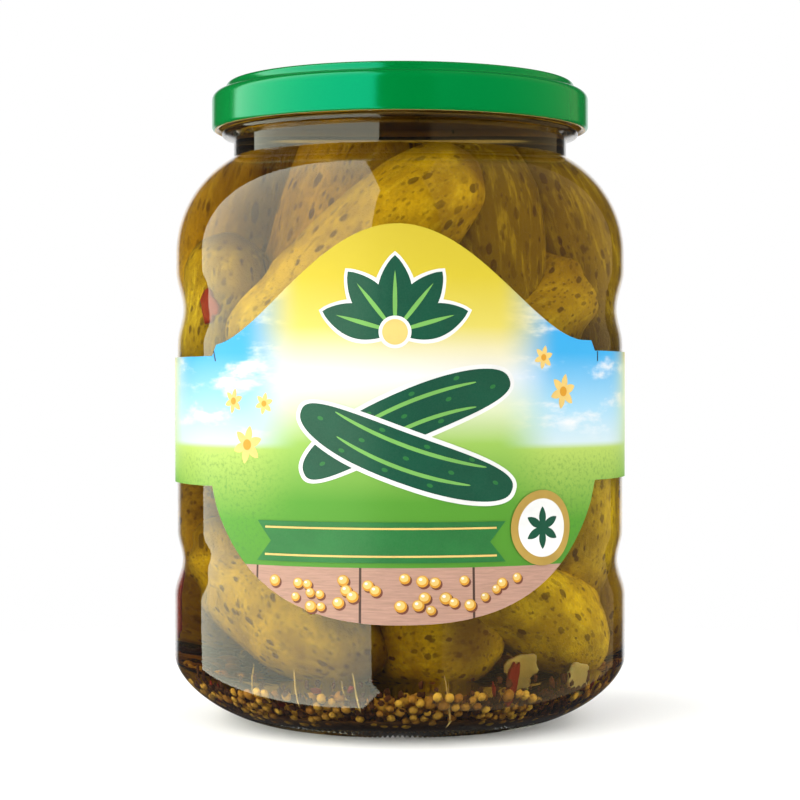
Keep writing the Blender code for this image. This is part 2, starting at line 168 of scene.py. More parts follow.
# The heap, as in the frame: azimuth, distance of the middle from the axis, height, length, thickness, lean,
# pitch, bow, firmness
GHERKINS = (
    (-21, 32, 98.5, 62, 22, 50, 12, 5.0, 1.0),
    (-68, 32, 96, 58, 27, 12, 12, 2.0, 0.9),
    (40, 23, 103, 46, 25, 4, 12, 1.0, 1.0),
    (80, 32, 98, 50, 25, -16, 12, 2.0, 0.8),
    (50, 35, 87, 54, 25, 58, 0, 5.5, 1.0),
    (9, 20, 21.0, 52, 24, 90, -70, 2.0, 1.0),
    (44, 35, 27.5, 54, 21, 122, 0, 4.5, 1.0),
    (-59, 35, 26, 56, 25, -62, 0, 5.0, 1.0),
    (-80, 34, 66, 56, 24, 12, 0, 2.0, 0.8),
    (84, 34, 48, 58, 24, -6, 0, 2.0, 0.7),
    (-40, 33, 66, 50, 22, -10, 0, 2.0, 0.3),
    (4, 33, 60, 50, 23, 8, 0, 2.0, 0.3),
    (118, 34, 42, 60, 24, -10, 0, 2.0, 0.4),
    (152, 34, 44, 62, 25, 8, 0, 2.0, 0.4),
    (186, 34, 40, 58, 23, -10, 0, 2.0, 0.4),
    (220, 34, 44, 62, 25, 10, 0, 2.0, 0.4),
    (252, 34, 38, 54, 23, 14, 0, 2.0, 0.4),
    (118, 32, 97, 52, 24, 12, 12, 2.0, 0.4),
    (156, 32, 98, 54, 25, -10, 12, 2.0, 0.4),
    (194, 32, 97, 54, 23, 14, 12, 2.0, 0.4),
    (232, 32, 98, 54, 25, -10, 12, 2.0, 0.4),
)
# The first gherkins are the ones in front, with finer meshes
FRONT_GHERKINS = 8
FRONT_MESH = (96, 60)
BACK_MESH = (78, 50)
# How dark the skin of each of the first gherkins is, from 0 to 1: partly each one's own tone, and on the
# darkest, which lie deep and out of the light, painted shade
SKIN_TONES_AND_SHADE = (0.22, 0.08, 1.0, 0.85, 0.45, 0.0, 0.0, 0.12, 0.6)
STEM_TAPER = 0.12
TIP_POWER = 3.2
RIDGE = 0.03
WALL_GAP = 0.9
SETTLE_STEPS = 160
SPINE_BALLS = 9
HEAP_FLOOR = 9.6
HEAP_TOP = 127.0
CORE_PROFILE = ((0.0, 22.0), (18.0, 24.0), (26.0, 34.0), (26.0, 92.0), (20.0, 108.0), (0.0, 112.0))

# The seed bed, as in the frame
BED_TOP = 8.0
BED_INNER = 26.5
GRAIN_TOP = 11.6

# Cut pieces, as in the frame: azimuth, distance from the axis, height, size across, along and through, turn
PEPPER_PIECES = (
    (-61, 44.2, 91.0, 6.5, 8.5, 2.0, 25),
    (31, 43.0, 13.6, 2.4, 7.6, 1.6, -12),
    (-82, 45.0, 26.0, 7.0, 14.0, 2.0, 8),
    (152, 43.6, 85.0, 7.0, 9.0, 2.0, -20),
)
ONION_PIECES = (
    (37, 39.0, 15.2, 7.5, 5.5, 1.8, 20),
    (56, 42.4, 13.0, 6.5, 4.6, 2.0, -15),
    (-101, 44.0, 24.0, 7.0, 10.0, 2.0, 12),
)


def srgb(red, green, blue):
    """A linear colour from the 0 to 255 values that a screen shows."""
    parts = []
    for value in (red, green, blue):
        share = value / 255
        parts.append(share / 12.92 if share <= 0.04045 else ((share + 0.055) / 1.055) ** 2.4)
    return tuple(parts)


def toned(shade, share):
    """The same colour, lighter or darker."""
    return [value * share for value in shade]


def colour(name, what, default):
    return FloatVectorProperty(
        name=name, description=what, default=default, subtype="COLOR", size=3, min=0.0, max=1.0
    )


class GlassSettings(bpy.types.PropertyGroup):
    tint: colour("Glass tint", "What the clear glass lets through", (0.955, 0.975, 0.955))
    knurls: IntProperty(name="Knurls", description="Scallops round the foot", default=184, min=40)
    knurl_height: FloatProperty(
        name="Knurl height", description="How deep the notches are", default=0.0008, unit="LENGTH"
    )


class LidSettings(bpy.types.PropertyGroup):
    enamel: colour("Enamel", "The lid's green paint", (0.0, 0.138, 0.022))
    lacquer: colour("Lacquer", "The golden lacquer inside the lid", srgb(184, 156, 96))
    compound: colour("Compound", "The sealing ring inside the lid", srgb(188, 184, 172))


class LabelSettings(bpy.types.PropertyGroup):
    sun: colour("Sun yellow", "The top of the label", srgb(220, 199, 34))
    sky: colour("Sky blue", "The sides of the label", srgb(46, 176, 236))
    meadow: colour("Meadow green", "The lower part of the label", srgb(82, 158, 26))
    wood: colour("Wood", "The strip along the bottom of the label", srgb(205, 160, 138))
    ink: colour("Dark green ink", "Leaves and gherkins on the label", srgb(0, 80, 56))
    gold: colour("Gold ink", "The ring on the label", srgb(214, 178, 88))
    straw: colour("Straw ink", "Seeds and flowers on the label", srgb(244, 208, 120))


class BrineSettings(bpy.types.PropertyGroup):
    tint: colour("Brine tint", "What the brine lets through", (0.68, 0.555, 0.12))
    density: FloatProperty(name="Density", description="How fast the brine tints", default=62.0, min=0.0)
    level: FloatProperty(
        name="Level", description="Height of the brine's surface", default=0.1368, unit="LENGTH"
    )


class GherkinSettings(bpy.types.PropertyGroup):
    skin: colour("Skin", "The light olive of the skin", srgb(224, 188, 18))
    shade: colour("Shade", "The darker olive of the skin", srgb(170, 136, 12))
    stripe: colour("Stripe", "The pale streaks along the skin", srgb(238, 212, 46))
    wart: colour("Warts", "The brown of the warts", srgb(72, 46, 6))
    scar: colour("Scar", "The brown of the two ends", srgb(112, 78, 34))
    warts: IntProperty(name="Warts", description="Warts on each gherkin", default=70, min=0)
    wart_height: FloatProperty(
        name="Wart height", description="How far a wart stands out", default=0.00032, unit="LENGTH"
    )


class SpiceSettings(bpy.types.PropertyGroup):
    seeds: IntProperty(name="Seeds", description="Mustard seeds at the glass", default=1300, min=0)
    seed: colour("Seed", "The gold of a mustard seed", srgb(226, 178, 62))
    crumbs: IntProperty(name="Crumbs", description="Bits of spice between the seeds", default=900, min=0)
    flecks: IntProperty(name="Flecks", description="Flecks of pepper between the seeds", default=44, min=0)
    stalks: IntProperty(name="Stalks", description="Stalks of dill between the seeds", default=20, min=0)
    spice: colour("Spice", "The dark brown of the spice", srgb(82, 42, 16))
    pepper: colour("Pepper", "The red of the pepper", srgb(128, 34, 12))
    onion: colour("Onion", "The pale flesh of the onion", srgb(176, 154, 88))


class StudioSettings(bpy.types.PropertyGroup):
    left_light: FloatProperty(name="Left light", description="Light from the left panel", default=2.9)
    left_shine: FloatProperty(name="Left shine", description="The left one in reflections", default=3.4)
    right_light: FloatProperty(name="Right light", description="Light from the right panel", default=2.0)
    right_shine: FloatProperty(name="Right shine", description="The right one in reflections", default=0.4)
    fill_light: FloatProperty(name="Fill light", description="Light from all round", default=0.45)
    floor: colour("Floor", "The pale floor", (0.93, 0.93, 0.92))
    lens: FloatProperty(name="Lens", description="Focal length in millimetres", default=100.5)
    distance: FloatProperty(
        name="Distance", description="From the camera to the jar's axis", default=0.5, unit="LENGTH"
    )
    eye_height: FloatProperty(
        name="Eye height", description="Height of the camera", default=0.0737, unit="LENGTH"
    )


class JarSettings(bpy.types.PropertyGroup):
    glass: PointerProperty(type=GlassSettings)
    lid: PointerProperty(type=LidSettings)
    label: PointerProperty(type=LabelSettings)
    brine: PointerProperty(type=BrineSettings)
    gherkins: PointerProperty(type=GherkinSettings)
    spice: PointerProperty(type=SpiceSettings)
    studio: PointerProperty(type=StudioSettings)


def settings():
    return bpy.context.scene.gherkin_jar


# Shader helpers


def node(tree, kind, inputs=None, **values):
    """A new node with its values set, and its inputs set to values or linked to sockets."""
    made = tree.nodes.new(kind)
    for name, value in values.items():
        setattr(made, name, value)
    for key, value in (inputs or {}).items():
        if isinstance(value, bpy.types.NodeSocket):
            tree.links.new(value, made.inputs[key])
        else:
            made.inputs[key].default_value = value
    return made


def maths(tree, operation, *values, clamp=False):
    made = node(tree, "ShaderNodeMath", dict(enumerate(values)), operation=operation, use_clamp=clamp)
    return made.outputs[0]


def times(tree, value, share):
    return maths(tree, "MULTIPLY", value, share)


def plus(tree, value, other):
    return maths(tree, "ADD", value, other)


def step_up(tree, value, low, high):
    """0 below low, 1 above high, and smooth between them."""
    made = node(
        tree,
        "ShaderNodeMapRange",
        {"Value": value, "From Min": low, "From Max": high},
        interpolation_type="SMOOTHSTEP",
    )
    return made.outputs["Result"]


def rgba(value):
    return (*value, 1.0) if len(value) == 3 else tuple(value)


def mixed(tree, share, first, second, blend="MIX"):
    """The colour between two others, each a socket or a colour."""
    made = tree.nodes.new("ShaderNodeMix")
    made.data_type = "RGBA"
    made.blend_type = blend
    for place, value in ((0, share), (6, first), (7, second)):
        if isinstance(value, bpy.types.NodeSocket):
            tree.links.new(value, made.inputs[place])
        else:
            made.inputs[place].default_value = value if place == 0 else rgba(value)
    return made.outputs[2]


def ramp(tree, value, stops):
    made = node(tree, "ShaderNodeValToRGB", {"Fac": value})
    elements = made.color_ramp.elements
    while len(elements) < len(stops):
        elements.new(1.0)
    for element, (place, shade) in zip(elements, stops):
        element.position = place
        element.color = rgba(shade)
    return made.outputs["Color"]


def noisy(tree, place, scale, detail=3.0, rough=0.5, distortion=0.0):
    made = node(
        tree,
        "ShaderNodeTexNoise",
        {"Vector": place, "Scale": scale, "Detail": detail, "Roughness": rough, "Distortion": distortion},
    )
    return made.outputs["Fac"]


def bumped(tree, height, distance, strength=1.0):
    made = node(tree, "ShaderNodeBump", {"Height": height, "Distance": distance, "Strength": strength})
    return made.outputs["Normal"]


def paint(tree, shader, shade, relief, depth, strength):
    """Gives a shader its colour and its low relief."""
    tree.links.new(shade, shader.inputs["Base Color"])
    tree.links.new(bumped(tree, relief, depth, strength), shader.inputs["Normal"])


def stretched(tree, place, along):
    """A place squeezed or stretched along each axis, for a pattern with a grain."""
    return node(tree, "ShaderNodeMapping", {"Vector": place, "Scale": along}).outputs["Vector"]


def own_place(tree):
    return node(tree, "ShaderNodeTexCoord").outputs["Object"]


def attribute(tree, name, output="Fac"):
    return node(tree, "ShaderNodeAttribute", attribute_name=name).outputs[output]


def material(name, shade, roughness, **sockets):
    """A material with its Principled shader set. Returns the material, its node tree and the shader."""
    made = bpy.data.materials.new(name)
    made.use_nodes = True
    tree = made.node_tree
    shader = tree.nodes["Principled BSDF"]
    shader.inputs["Base Color"].default_value = rgba(shade)
    shader.inputs["Roughness"].default_value = roughness
    for socket, value in sockets.items():
        shader.inputs[socket.replace("_", " ")].default_value = value
    made.diffuse_color = rgba(shade)
    return made, tree, shader


def mottle_group():
    """Two scales of uneven tone and a fine grain, for skins, seeds, paint and paper alike."""
    found = bpy.data.node_groups.get("mottle")
    if found:
        return found
    group = bpy.data.node_groups.new("mottle", "ShaderNodeTree")
    face = group.interface
    face.new_socket("Vector", in_out="INPUT", socket_type="NodeSocketVector")
    for name, value in (("Patch Scale", 80.0), ("Grain Scale", 900.0)):
        face.new_socket(name, in_out="INPUT", socket_type="NodeSocketFloat").default_value = value
    face.new_socket("Patches", in_out="OUTPUT", socket_type="NodeSocketFloat")
    face.new_socket("Grain", in_out="OUTPUT", socket_type="NodeSocketFloat")
    inside = group.nodes.new("NodeGroupInput")
    outside = group.nodes.new("NodeGroupOutput")
    patches = noisy(group, inside.outputs["Vector"], inside.outputs["Patch Scale"], 4.0, 0.55)
    grain = noisy(group, inside.outputs["Vector"], inside.outputs["Grain Scale"], 2.0, 0.6)
    group.links.new(step_up(group, patches, 0.3, 0.7), outside.inputs["Patches"])
    group.links.new(grain, outside.inputs["Grain"])
    return group


def mottle(tree, place, patch_scale, grain_scale):
    """The mottle group placed in a tree. Returns its patches and its grain."""
    made = tree.nodes.new("ShaderNodeGroup")
    made.node_tree = mottle_group()
    tree.links.new(place, made.inputs["Vector"])
    made.inputs["Patch Scale"].default_value = patch_scale
    made.inputs["Grain Scale"].default_value = grain_scale
    return made.outputs["Patches"], made.outputs["Grain"]


def let_lamps_through(tree, shader):
    """Shadow rays pass straight through, so that lamps light what the glass and the brine hold."""
    path = node(tree, "ShaderNodeLightPath")
    clear = node(tree, "ShaderNodeBsdfTransparent")
    ways = {0: path.outputs["Is Shadow Ray"], 1: shader.outputs[0], 2: clear.outputs[0]}
    both = node(tree, "ShaderNodeMixShader", ways)
    tree.links.new(both.outputs[0], tree.nodes["Material Output"].inputs["Surface"])


# Finishes


def glass_finish():
    shade = settings().glass.tint
    made, tree, shader = material("clear_glass", shade, 0.015, IOR=1.5, Transmission_Weight=1.0)
    waves = noisy(tree, own_place(tree), 26.0, detail=1.0)
    tree.links.new(bumped(tree, waves, 0.0004, 0.5), shader.inputs["Normal"])
    let_lamps_through(tree, shader)
    return made


def brine_finish():
    brine = settings().brine
    made, tree, shader = material("brine", (1.0, 1.0, 1.0), 0.01, IOR=1.34, Transmission_Weight=1.0)
    let_lamps_through(tree, shader)
    soak = node(tree, "ShaderNodeVolumeAbsorption", {"Color": rgba(brine.tint), "Density": brine.density})
    tree.links.new(soak.outputs[0], tree.nodes["Material Output"].inputs["Volume"])
    return made


def enamel_finish():
    """Green lacquer over bright steel: it tints what it reflects."""
    shade = settings().lid.enamel
    made, tree, shader = material(
        "green_enamel", shade, 0.15, IOR=1.5, Metallic=0.08, Specular_IOR_Level=0.78
    )
    shader.inputs["Specular Tint"].default_value = (0.03, 1.0, 1.0, 1.0)
    patches, grain = mottle(tree, own_place(tree), patch_scale=60.0, grain_scale=2600.0)
    light = mixed(tree, patches, shade, toned(shade, 1.08))
    paint(tree, shader, mixed(tree, grain, toned(shade, 0.9), light), grain, 0.00002, 0.25)
    tone = node(tree, "ShaderNodeMapRange", {"Value": patches, "To Min": 0.12, "To Max": 0.17})
    tree.links.new(tone.outputs["Result"], shader.inputs["Roughness"])
    return made


def pale_finish(name, shade, roughness):
    made, tree, shader = material(name, shade, roughness)
    patches, grain = mottle(tree, own_place(tree), patch_scale=90.0, grain_scale=1800.0)
    paint(tree, shader, mixed(tree, patches, toned(shade, 0.92), shade), grain, 0.00003, 0.3)
    return made


def speckles(tree, place, scale, size, softness):
    """Ragged spots, one to a cell, some of them missing. Returns their mask."""
    cells = node(tree, "ShaderNodeTexVoronoi", {"Vector": place, "Scale": scale})
    shape = noisy(tree, place, scale * 2.2, detail=2.0, rough=0.6)
    reach = plus(tree, cells.outputs["Distance"], times(tree, shape, 0.42))
    spot = maths(tree, "SUBTRACT", 1.0, step_up(tree, reach, size, size + softness))
    drawn = node(tree, "ShaderNodeSeparateColor", {"Color": cells.outputs["Color"]}).outputs[0]
    return times(tree, spot, step_up(tree, drawn, 0.15, 0.8))


def skin_finish():
    """Matt olive skin, blotched and speckled with brown, with raised brown warts, and darkened by its tint:
    partly each gherkin's own tone, partly painted shade.
    """
    look = settings().gherkins
    made, tree, shader = material("gherkin_skin", look.skin, 0.6, Specular_IOR_Level=0.12)
    place = attribute(tree, "skin_place", "Vector")
    patches, grain = mottle(tree, place, patch_scale=140.0, grain_scale=1900.0)
    shade = mixed(tree, patches, look.shade, look.skin)
    # The tint darkens a whole gherkin: its own tone, and painted shade on the deep gherkins and on the core
    # between them
    shade = mixed(tree, times(tree, attribute(tree, "tint"), 0.9), shade, toned(look.shade, 0.4))
    along = stretched(tree, place, (1.0, 1.0, 0.22))
    streak = step_up(tree, noisy(tree, along, 620.0, rough=0.6), 0.48, 0.7)
    shade = mixed(tree, times(tree, streak, 0.3), shade, look.stripe)
    fine = step_up(tree, noisy(tree, place, 1100.0, rough=0.7), 0.46, 0.62)
    shade = mixed(tree, times(tree, fine, 0.3), shade, toned(look.shade, 0.6))
    slant = stretched(tree, place, (1.0, 1.0, 0.6))
    large = speckles(tree, slant, scale=460.0, size=0.46, softness=0.1)
    small = speckles(tree, slant, scale=950.0, size=0.44, softness=0.12)
    where = {"Value": noisy(tree, place, 70.0, detail=1.0), "To Min": 0.55, "To Max": 1.2}
    region = node(tree, "ShaderNodeMapRange", where).outputs["Result"]
    spots = maths(tree, "MAXIMUM", large, times(tree, small, 0.6))
    spots = maths(tree, "MULTIPLY", spots, region, clamp=True)
    wart = step_up(tree, attribute(tree, "wart"), 0.3, 0.7)
    brown = maths(tree, "MAXIMUM", times(tree, wart, 0.6), times(tree, spots, 0.85))
    shade = mixed(tree, brown, shade, look.wart)
    shade = mixed(tree, times(tree, attribute(tree, "scar"), 0.7), shade, look.scar)
    relief = plus(tree, times(tree, fine, 0.5), times(tree, spots, 0.8))
    relief = plus(tree, relief, times(tree, grain, 0.4))
    paint(tree, shader, shade, relief, 0.00022, 0.7)
    return made


def grain_finish(name, dark, light, roughness):
    """A seed, crumb or stalk: each with its own tone, and fine spots and wrinkles over it."""
    made, tree, shader = material(name, light, roughness, Specular_IOR_Level=0.3)
    patches, grain = mottle(tree, own_place(tree), patch_scale=700.0, grain_scale=2400.0)
    shade = mixed(tree, attribute(tree, "tint"), dark, light)
    paint(tree, shader, mixed(tree, times(tree, patches, 0.3), shade, dark), grain, 0.00006, 0.5)
    return made


def slice_finish(name, flesh, rim, clear):
    """Wet cut flesh, a little see-through, with fibres across it and a deeper rim."""
    made, tree, shader = material(name, flesh, 0.3, Subsurface_Weight=clear)
    shader.inputs["Subsurface Radius"].default_value = (0.002, 0.001, 0.0006)
    place = own_place(tree)
    patches, _ = mottle(tree, place, patch_scale=260.0, grain_scale=1500.0)
    fibres = noisy(tree, stretched(tree, place, (1.0, 1.0, 0.2)), 1400.0, detail=2.0)
    shade = mixed(tree, patches, flesh, toned(flesh, 0.78))
    shade = mixed(tree, attribute(tree, "rim"), shade, rim)
    paint(tree, shader, mixed(tree, times(tree, fibres, 0.3), shade, rim), fibres, 0.0001, 0.4)
    return made


def label_places(tree):
    """How far along the paper from the middle of the front, and how high, from the label's own map."""
    split = node(tree, "ShaderNodeSeparateXYZ", {"Vector": node(tree, "ShaderNodeUVMap").outputs["UV"]})
    across = times(tree, maths(tree, "SUBTRACT", split.outputs["X"], 0.5), MAP_ACROSS)
    return across, times(tree, split.outputs["Y"], MAP_HEIGHT)


def front_field(tree, share, look, white):
    """The middle of the front, from the meadow at the foot to the sun at the top."""
    stops = (
        (0.0, toned(look.meadow, 0.8)),
        (0.3, look.meadow),
        (0.44, srgb(158, 202, 84)),
        (0.52, srgb(226, 236, 190)),
        (0.60, white),
        (0.72, srgb(232, 216, 96)),
        (0.84, look.sun),
        (1.0, srgb(206, 184, 26)),
    )
    return ramp(tree, share, stops)


def side_field(tree, share, plane, height, look, white):
    """The sides of the front: a tufted meadow under a sky with clouds."""
    stops = (
        (0.0, toned(look.meadow, 0.7)),
        (0.25, look.meadow),
        (0.425, srgb(186, 214, 96)),
        (0.44, srgb(214, 234, 240)),
        (0.52, srgb(170, 220, 244)),
        (0.66, look.sky),
        (1.0, srgb(30, 158, 226)),
    )
    side = ramp(tree, share, stops)
    drift = stretched(tree, plane, (0.045, 0.13, 1.0))
    clouds = step_up(tree, noisy(tree, drift, 1.0, detail=5.0, rough=0.6), 0.5, 0.68)
    above = step_up(tree, height, 62.0, 66.0)
    side = mixed(tree, times(tree, clouds, above), side, white)
    tufts = step_up(tree, noisy(tree, plane, 1.1, rough=0.7), 0.45, 0.7)
    low = maths(tree, "SUBTRACT", 1.0, step_up(tree, height, 58.0, 62.0))
    return mixed(tree, times(tree, times(tree, tufts, low), 0.5), side, srgb(58, 128, 44))


def back_field(tree, height, look):
    """The band behind the front's fields, in the same colours."""
    up = maths(tree, "DIVIDE", maths(tree, "SUBTRACT", height, BAND_BOTTOM), BAND_TOP - BAND_BOTTOM)
    stops = (
        (0.0, look.meadow),
        (0.1, srgb(150, 200, 90)),
        (0.5, srgb(214, 232, 160)),
        (0.9, srgb(236, 236, 150)),
        (1.0, look.sun),
    )
    return ramp(tree, up, stops)


def wood_field(tree, plane, across, look):
    """Boards with veins along them and dark joints between them."""
    boards = stretched(tree, plane, (0.12, 1.6, 1.0))
    veins = noisy(tree, boards, 1.6, detail=4.0, rough=0.7, distortion=0.6)
    pale = [min(1, value * 1.3) for value in look.wood]
    wood = mixed(tree, veins, toned(look.wood, 0.5), pale)
    joint = maths(tree, "PINGPONG", plus(tree, across, 8.0), BOARD_WIDTH / 2)
    return mixed(tree, maths(tree, "LESS_THAN", joint, 0.25), wood, srgb(70, 40, 30))


def paper_finish():
    """Satin paper printed in soft fields: yellow at the top, sky at the sides, meadow, and a wood strip."""
    look = settings().label
    made, tree, shader = material("label_paper", (0.9, 0.9, 0.88), 0.5, **PRINTED)
    across, height = label_places(tree)
    plane = node(tree, "ShaderNodeCombineXYZ", {"X": across, "Y": height}).outputs[0]
    off = maths(tree, "ABSOLUTE", across)
    white = srgb(246, 246, 244)
    share = maths(tree, "DIVIDE", maths(tree, "SUBTRACT", height, 25.0), 85.0)
    middle = front_field(tree, share, look, white)
    side = side_field(tree, share, plane, height, look, white)
    shade = mixed(tree, step_up(tree, off, 20.0, 36.0), middle, side)
    shade = mixed(tree, step_up(tree, off, 54.0, 76.0), shade, back_field(tree, height, look))
    panel = maths(tree, "GREATER_THAN", off, BACK_PANEL_START)
    shade = mixed(tree, times(tree, panel, 0.75), shade, white)
    edge = maths(tree, "LESS_THAN", height, WOOD_TOP)
    shade = mixed(tree, edge, shade, wood_field(tree, plane, across, look))
    fibres, grain = mottle(tree, plane, patch_scale=0.5, grain_scale=9.0)
    shade = mixed(tree, times(tree, grain, 0.06), shade, white)
    shade = mixed(tree, 1.0, shade, PAPER_TONE, "MULTIPLY")
    inner = node(tree, "ShaderNodeNewGeometry").outputs["Backfacing"]
    paint(tree, shader, mixed(tree, inner, shade, white), plus(tree, grain, fibres), 0.00002, 0.3)
    return made


def ink_finish(name, shade, roughness=0.34, metallic=0.0):
    """A flat printing ink, faintly uneven as it lies on the paper."""
    shade = toned(shade, INK_TONE)
    made, tree, shader = material(name, shade, roughness, Metallic=metallic, **PRINTED)
    patches, grain = mottle(tree, own_place(tree), patch_scale=150.0, grain_scale=3000.0)
    deep = mixed(tree, patches, shade, toned(shade, 0.86))
    paint(tree, shader, mixed(tree, times(tree, grain, 0.015), deep, (1, 1, 1)), grain, 0.00001, 0.3)
    return made


# Modelling helpers


def nothing_selected():
    if bpy.context.mode != "OBJECT":
        bpy.ops.object.mode_set(mode="OBJECT")
    bpy.ops.object.select_all(action="DESELECT")


def select_only(piece):
    nothing_selected()
    bpy.context.view_layer.objects.active = piece
    piece.select_set(True)


def named(name):
    piece = bpy.context.object
    piece.name = name
    piece.data.name = name
    return piece


def points_of(piece):
    places = np.empty(len(piece.data.vertices) * 3)
    piece.data.vertices.foreach_get("co", places)
    return places.reshape(-1, 3)


def move_points(piece, places):
    piece.data.vertices.foreach_set("co", np.asarray(places, dtype=np.float32).ravel())
    piece.data.update()


def write_attribute(piece, name, values, kind="FLOAT"):
    made = piece.data.attributes.new(name, kind, "POINT")
    key = "vector" if kind == "FLOAT_VECTOR" else "value"
    made.data.foreach_set(key, np.asarray(values, dtype=np.float32).ravel())


def apply_modifier(piece, kind, **values):
    select_only(piece)
    made = piece.modifiers.new(kind.lower(), kind)
    for name, value in values.items():
        setattr(made, name, value)
    bpy.ops.object.modifier_apply(modifier=made.name)


def finish_piece(piece, finishes, angle=35, stands_for=()):
    """Smooth shading, materials, the body the piece rides on, and the nodes it stands for."""
    select_only(piece)
    bpy.ops.object.shade_smooth_by_angle(angle=math.radians(angle))
    for finish in finishes:
        piece.data.materials.append(finish)
    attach(piece, "root")
    if stands_for:
        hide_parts(*stands_for)
    nothing_selected()


def join_pieces(pieces, name):
    nothing_selected()
    for piece in pieces:
        piece.select_set(True)
    bpy.context.view_layer.objects.active = pieces[0]
    bpy.ops.object.join()
    return named(name)


def turned_piece(name, profile, segments, closed=False):
    """A closed shell spun about the jar's axis from a line of (radius, height) points."""
    nothing_selected()
    line = [Vector((radius * MM, 0, height * MM)) for radius, height in profile]
    if closed:
        line.append(line[0])
    bpy.ops.mesh.primitive_plane_add(size=MM)
    bpy.ops.object.mode_set(mode="EDIT")
    bpy.ops.mesh.merge(type="CENTER")
    bpy.ops.transform.translate(value=line[0])
    for here, there in zip(line, line[1:]):
        bpy.ops.mesh.extrude_region_move(TRANSFORM_OT_translate={"value": there - here})
    bpy.ops.mesh.select_all(action="SELECT")
    bpy.ops.mesh.spin(steps=segments, angle=2 * math.pi, center=(0, 0, 0), axis=(0, 0, 1))
    bpy.ops.mesh.select_all(action="SELECT")
    bpy.ops.mesh.remove_doubles(threshold=2e-6)
    bpy.ops.mesh.normals_make_consistent(inside=False)
    bpy.ops.object.mode_set(mode="OBJECT")
    return named(name)


# Profiles, as (radius, height) points


def groove(low, high, low_radius, high_radius, steps):
    points = []
    for i in range(steps + 1):
        share = i / steps
        dip = GROOVE_DEPTH * (1 - math.cos(2 * math.pi * share)) / 2
        points.append((low_radius + (high_radius - low_radius) * share - dip, low + (high - low) * share))
    return points


def heel(foot, radius, bottom, top, power, steps):
    points = []
    for i in range(steps + 1):
        turn = math.pi / 2 * i / steps
        across = math.sin(turn) ** (2 / power)
        up = 1 - max(0.0, math.cos(turn)) ** (2 / power)
        points.append((foot + (radius - foot) * across, bottom + (top - bottom) * up))
    return points


def shoulder(reach_radius, reach, rise, end_radius, steps):
    start = reach_radius - reach
    last = math.acos((end_radius - start) / reach)
    points = []
    for i in range(steps + 1):
        turn = last * i / steps
        points.append((start + reach * math.cos(turn), SHOULDER_START + rise * math.sin(turn)))
    return points


def jar_side():
    """The outside of the jar from the foot to the neck."""
    heel_steps, groove_steps, shoulder_steps = FINE_STEPS
    points = heel(FOOT_OUTER, BELLY_RADIUS, 0.0, HEEL_TOP, HEEL_POWER, heel_steps)
    points += groove(LOWER_BELLY_TOP, PANEL_BOTTOM, BELLY_RADIUS, PANEL_RADIUS, groove_steps)
    points += groove(PANEL_TOP, UPPER_BELLY_BOTTOM, PANEL_RADIUS, SHOULDER_RADIUS, groove_steps)
    points += shoulder(SHOULDER_RADIUS, SHOULDER_REACH, SHOULDER_RISE, NECK_RADIUS, shoulder_steps)
    return points


def jar_inside(steps=FINE_STEPS, out=0.0):
    """The inside of the jar from the floor's edge to the neck, or a line a little way into the wall."""
    heel_steps, groove_steps, shoulder_steps = steps
    wall = WALL - out
    belly, panel, top = (radius - wall for radius in (BELLY_RADIUS, PANEL_RADIUS, SHOULDER_RADIUS))
    points = heel(INNER_FOOT, belly, FLOOR_EDGE - out, INNER_HEEL_TOP, 2.0, heel_steps)
    points += groove(LOWER_BELLY_TOP, PANEL_BOTTOM, belly, panel, groove_steps)
    points += groove(PANEL_TOP, UPPER_BELLY_BOTTOM, panel, top, groove_steps)
    reach, rise = SHOULDER_REACH - wall, SHOULDER_RISE - wall
    points += shoulder(top, reach, rise, NECK_RADIUS - wall, shoulder_steps)
    return points


def jar_floor(sink=0.0):
    """The domed floor inside, from its middle towards the heel."""
    dome = FLOOR_MIDDLE - FLOOR_EDGE
    return [(INNER_FOOT * s, FLOOR_MIDDLE - sink - dome * s**2) for s in (0.0, 0.25, 0.5, 0.75)]


def arc(middle_radius, middle_height, radius, start, end, steps):
    points = []
    for i in range(steps + 1):
        angle = math.radians(start + (end - start) * i / steps)
        points.append((middle_radius + radius * math.cos(angle), middle_height + radius * math.sin(angle)))
    return points


def around(azimuth, reach, height):
    """The place at a reach from the jar's axis, with azimuth 0 at the front and + to the right."""
    return reach * math.sin(azimuth), -reach * math.cos(azimuth), height


def sheet_radius(height):
    """The radius of the paper at a height: the jar's side with its two grooves bridged."""
    side = [p for p in jar_side() if p[1] < LOWER_BELLY_TOP + 0.1 or p[1] > UPPER_BELLY_BOTTOM - 0.1]
    side += [(PANEL_RADIUS, PANEL_BOTTOM), (PANEL_RADIUS, PANEL_TOP)]
    side.sort(key=lambda p: p[1])
    return np.interp(height, [p[1] for p in side], [p[0] for p in side])


def label_edges(across, raised):
    """The lower and upper edge of the label at a distance along the paper. raised is true on the lobes."""
    skew = math.tan(LABEL_SKEW) * max(-50.0, min(50.0, across))
    top, bottom = BAND_TOP, BAND_BOTTOM
    if raised:
        off = min(1.0, abs(across - UPPER_LOBE_MIDDLE) / UPPER_LOBE_HALF)
        top += LOBE_STEP
        top += (UPPER_LOBE_TOP - top) * (1 + math.cos(math.pi * off)) / 2
        middle, half = (LOBE_LEFT + LOBE_RIGHT) / 2, (LOBE_RIGHT - LOBE_LEFT) / 2
        off = min(1.0, abs(across - middle) / half)
        bottom -= (BAND_BOTTOM - LOWER_LOBE_BOTTOM) * (1 - off**LOWER_LOBE_POWER) ** LOWER_LOBE_ROUND
    return bottom + skew, top + skew


def wrapped(across, height, lift):
    """The same points on the jar's round, in metres, from where they lie on the flat label."""
    radius = sheet_radius(height) + lift
    angle = np.asarray(across) / (PANEL_RADIUS + 0.3)
    return np.stack([radius * np.sin(angle), -radius * np.cos(angle), np.asarray(height)], axis=-1) * MM


# Where the gherkins lie, as in the frame


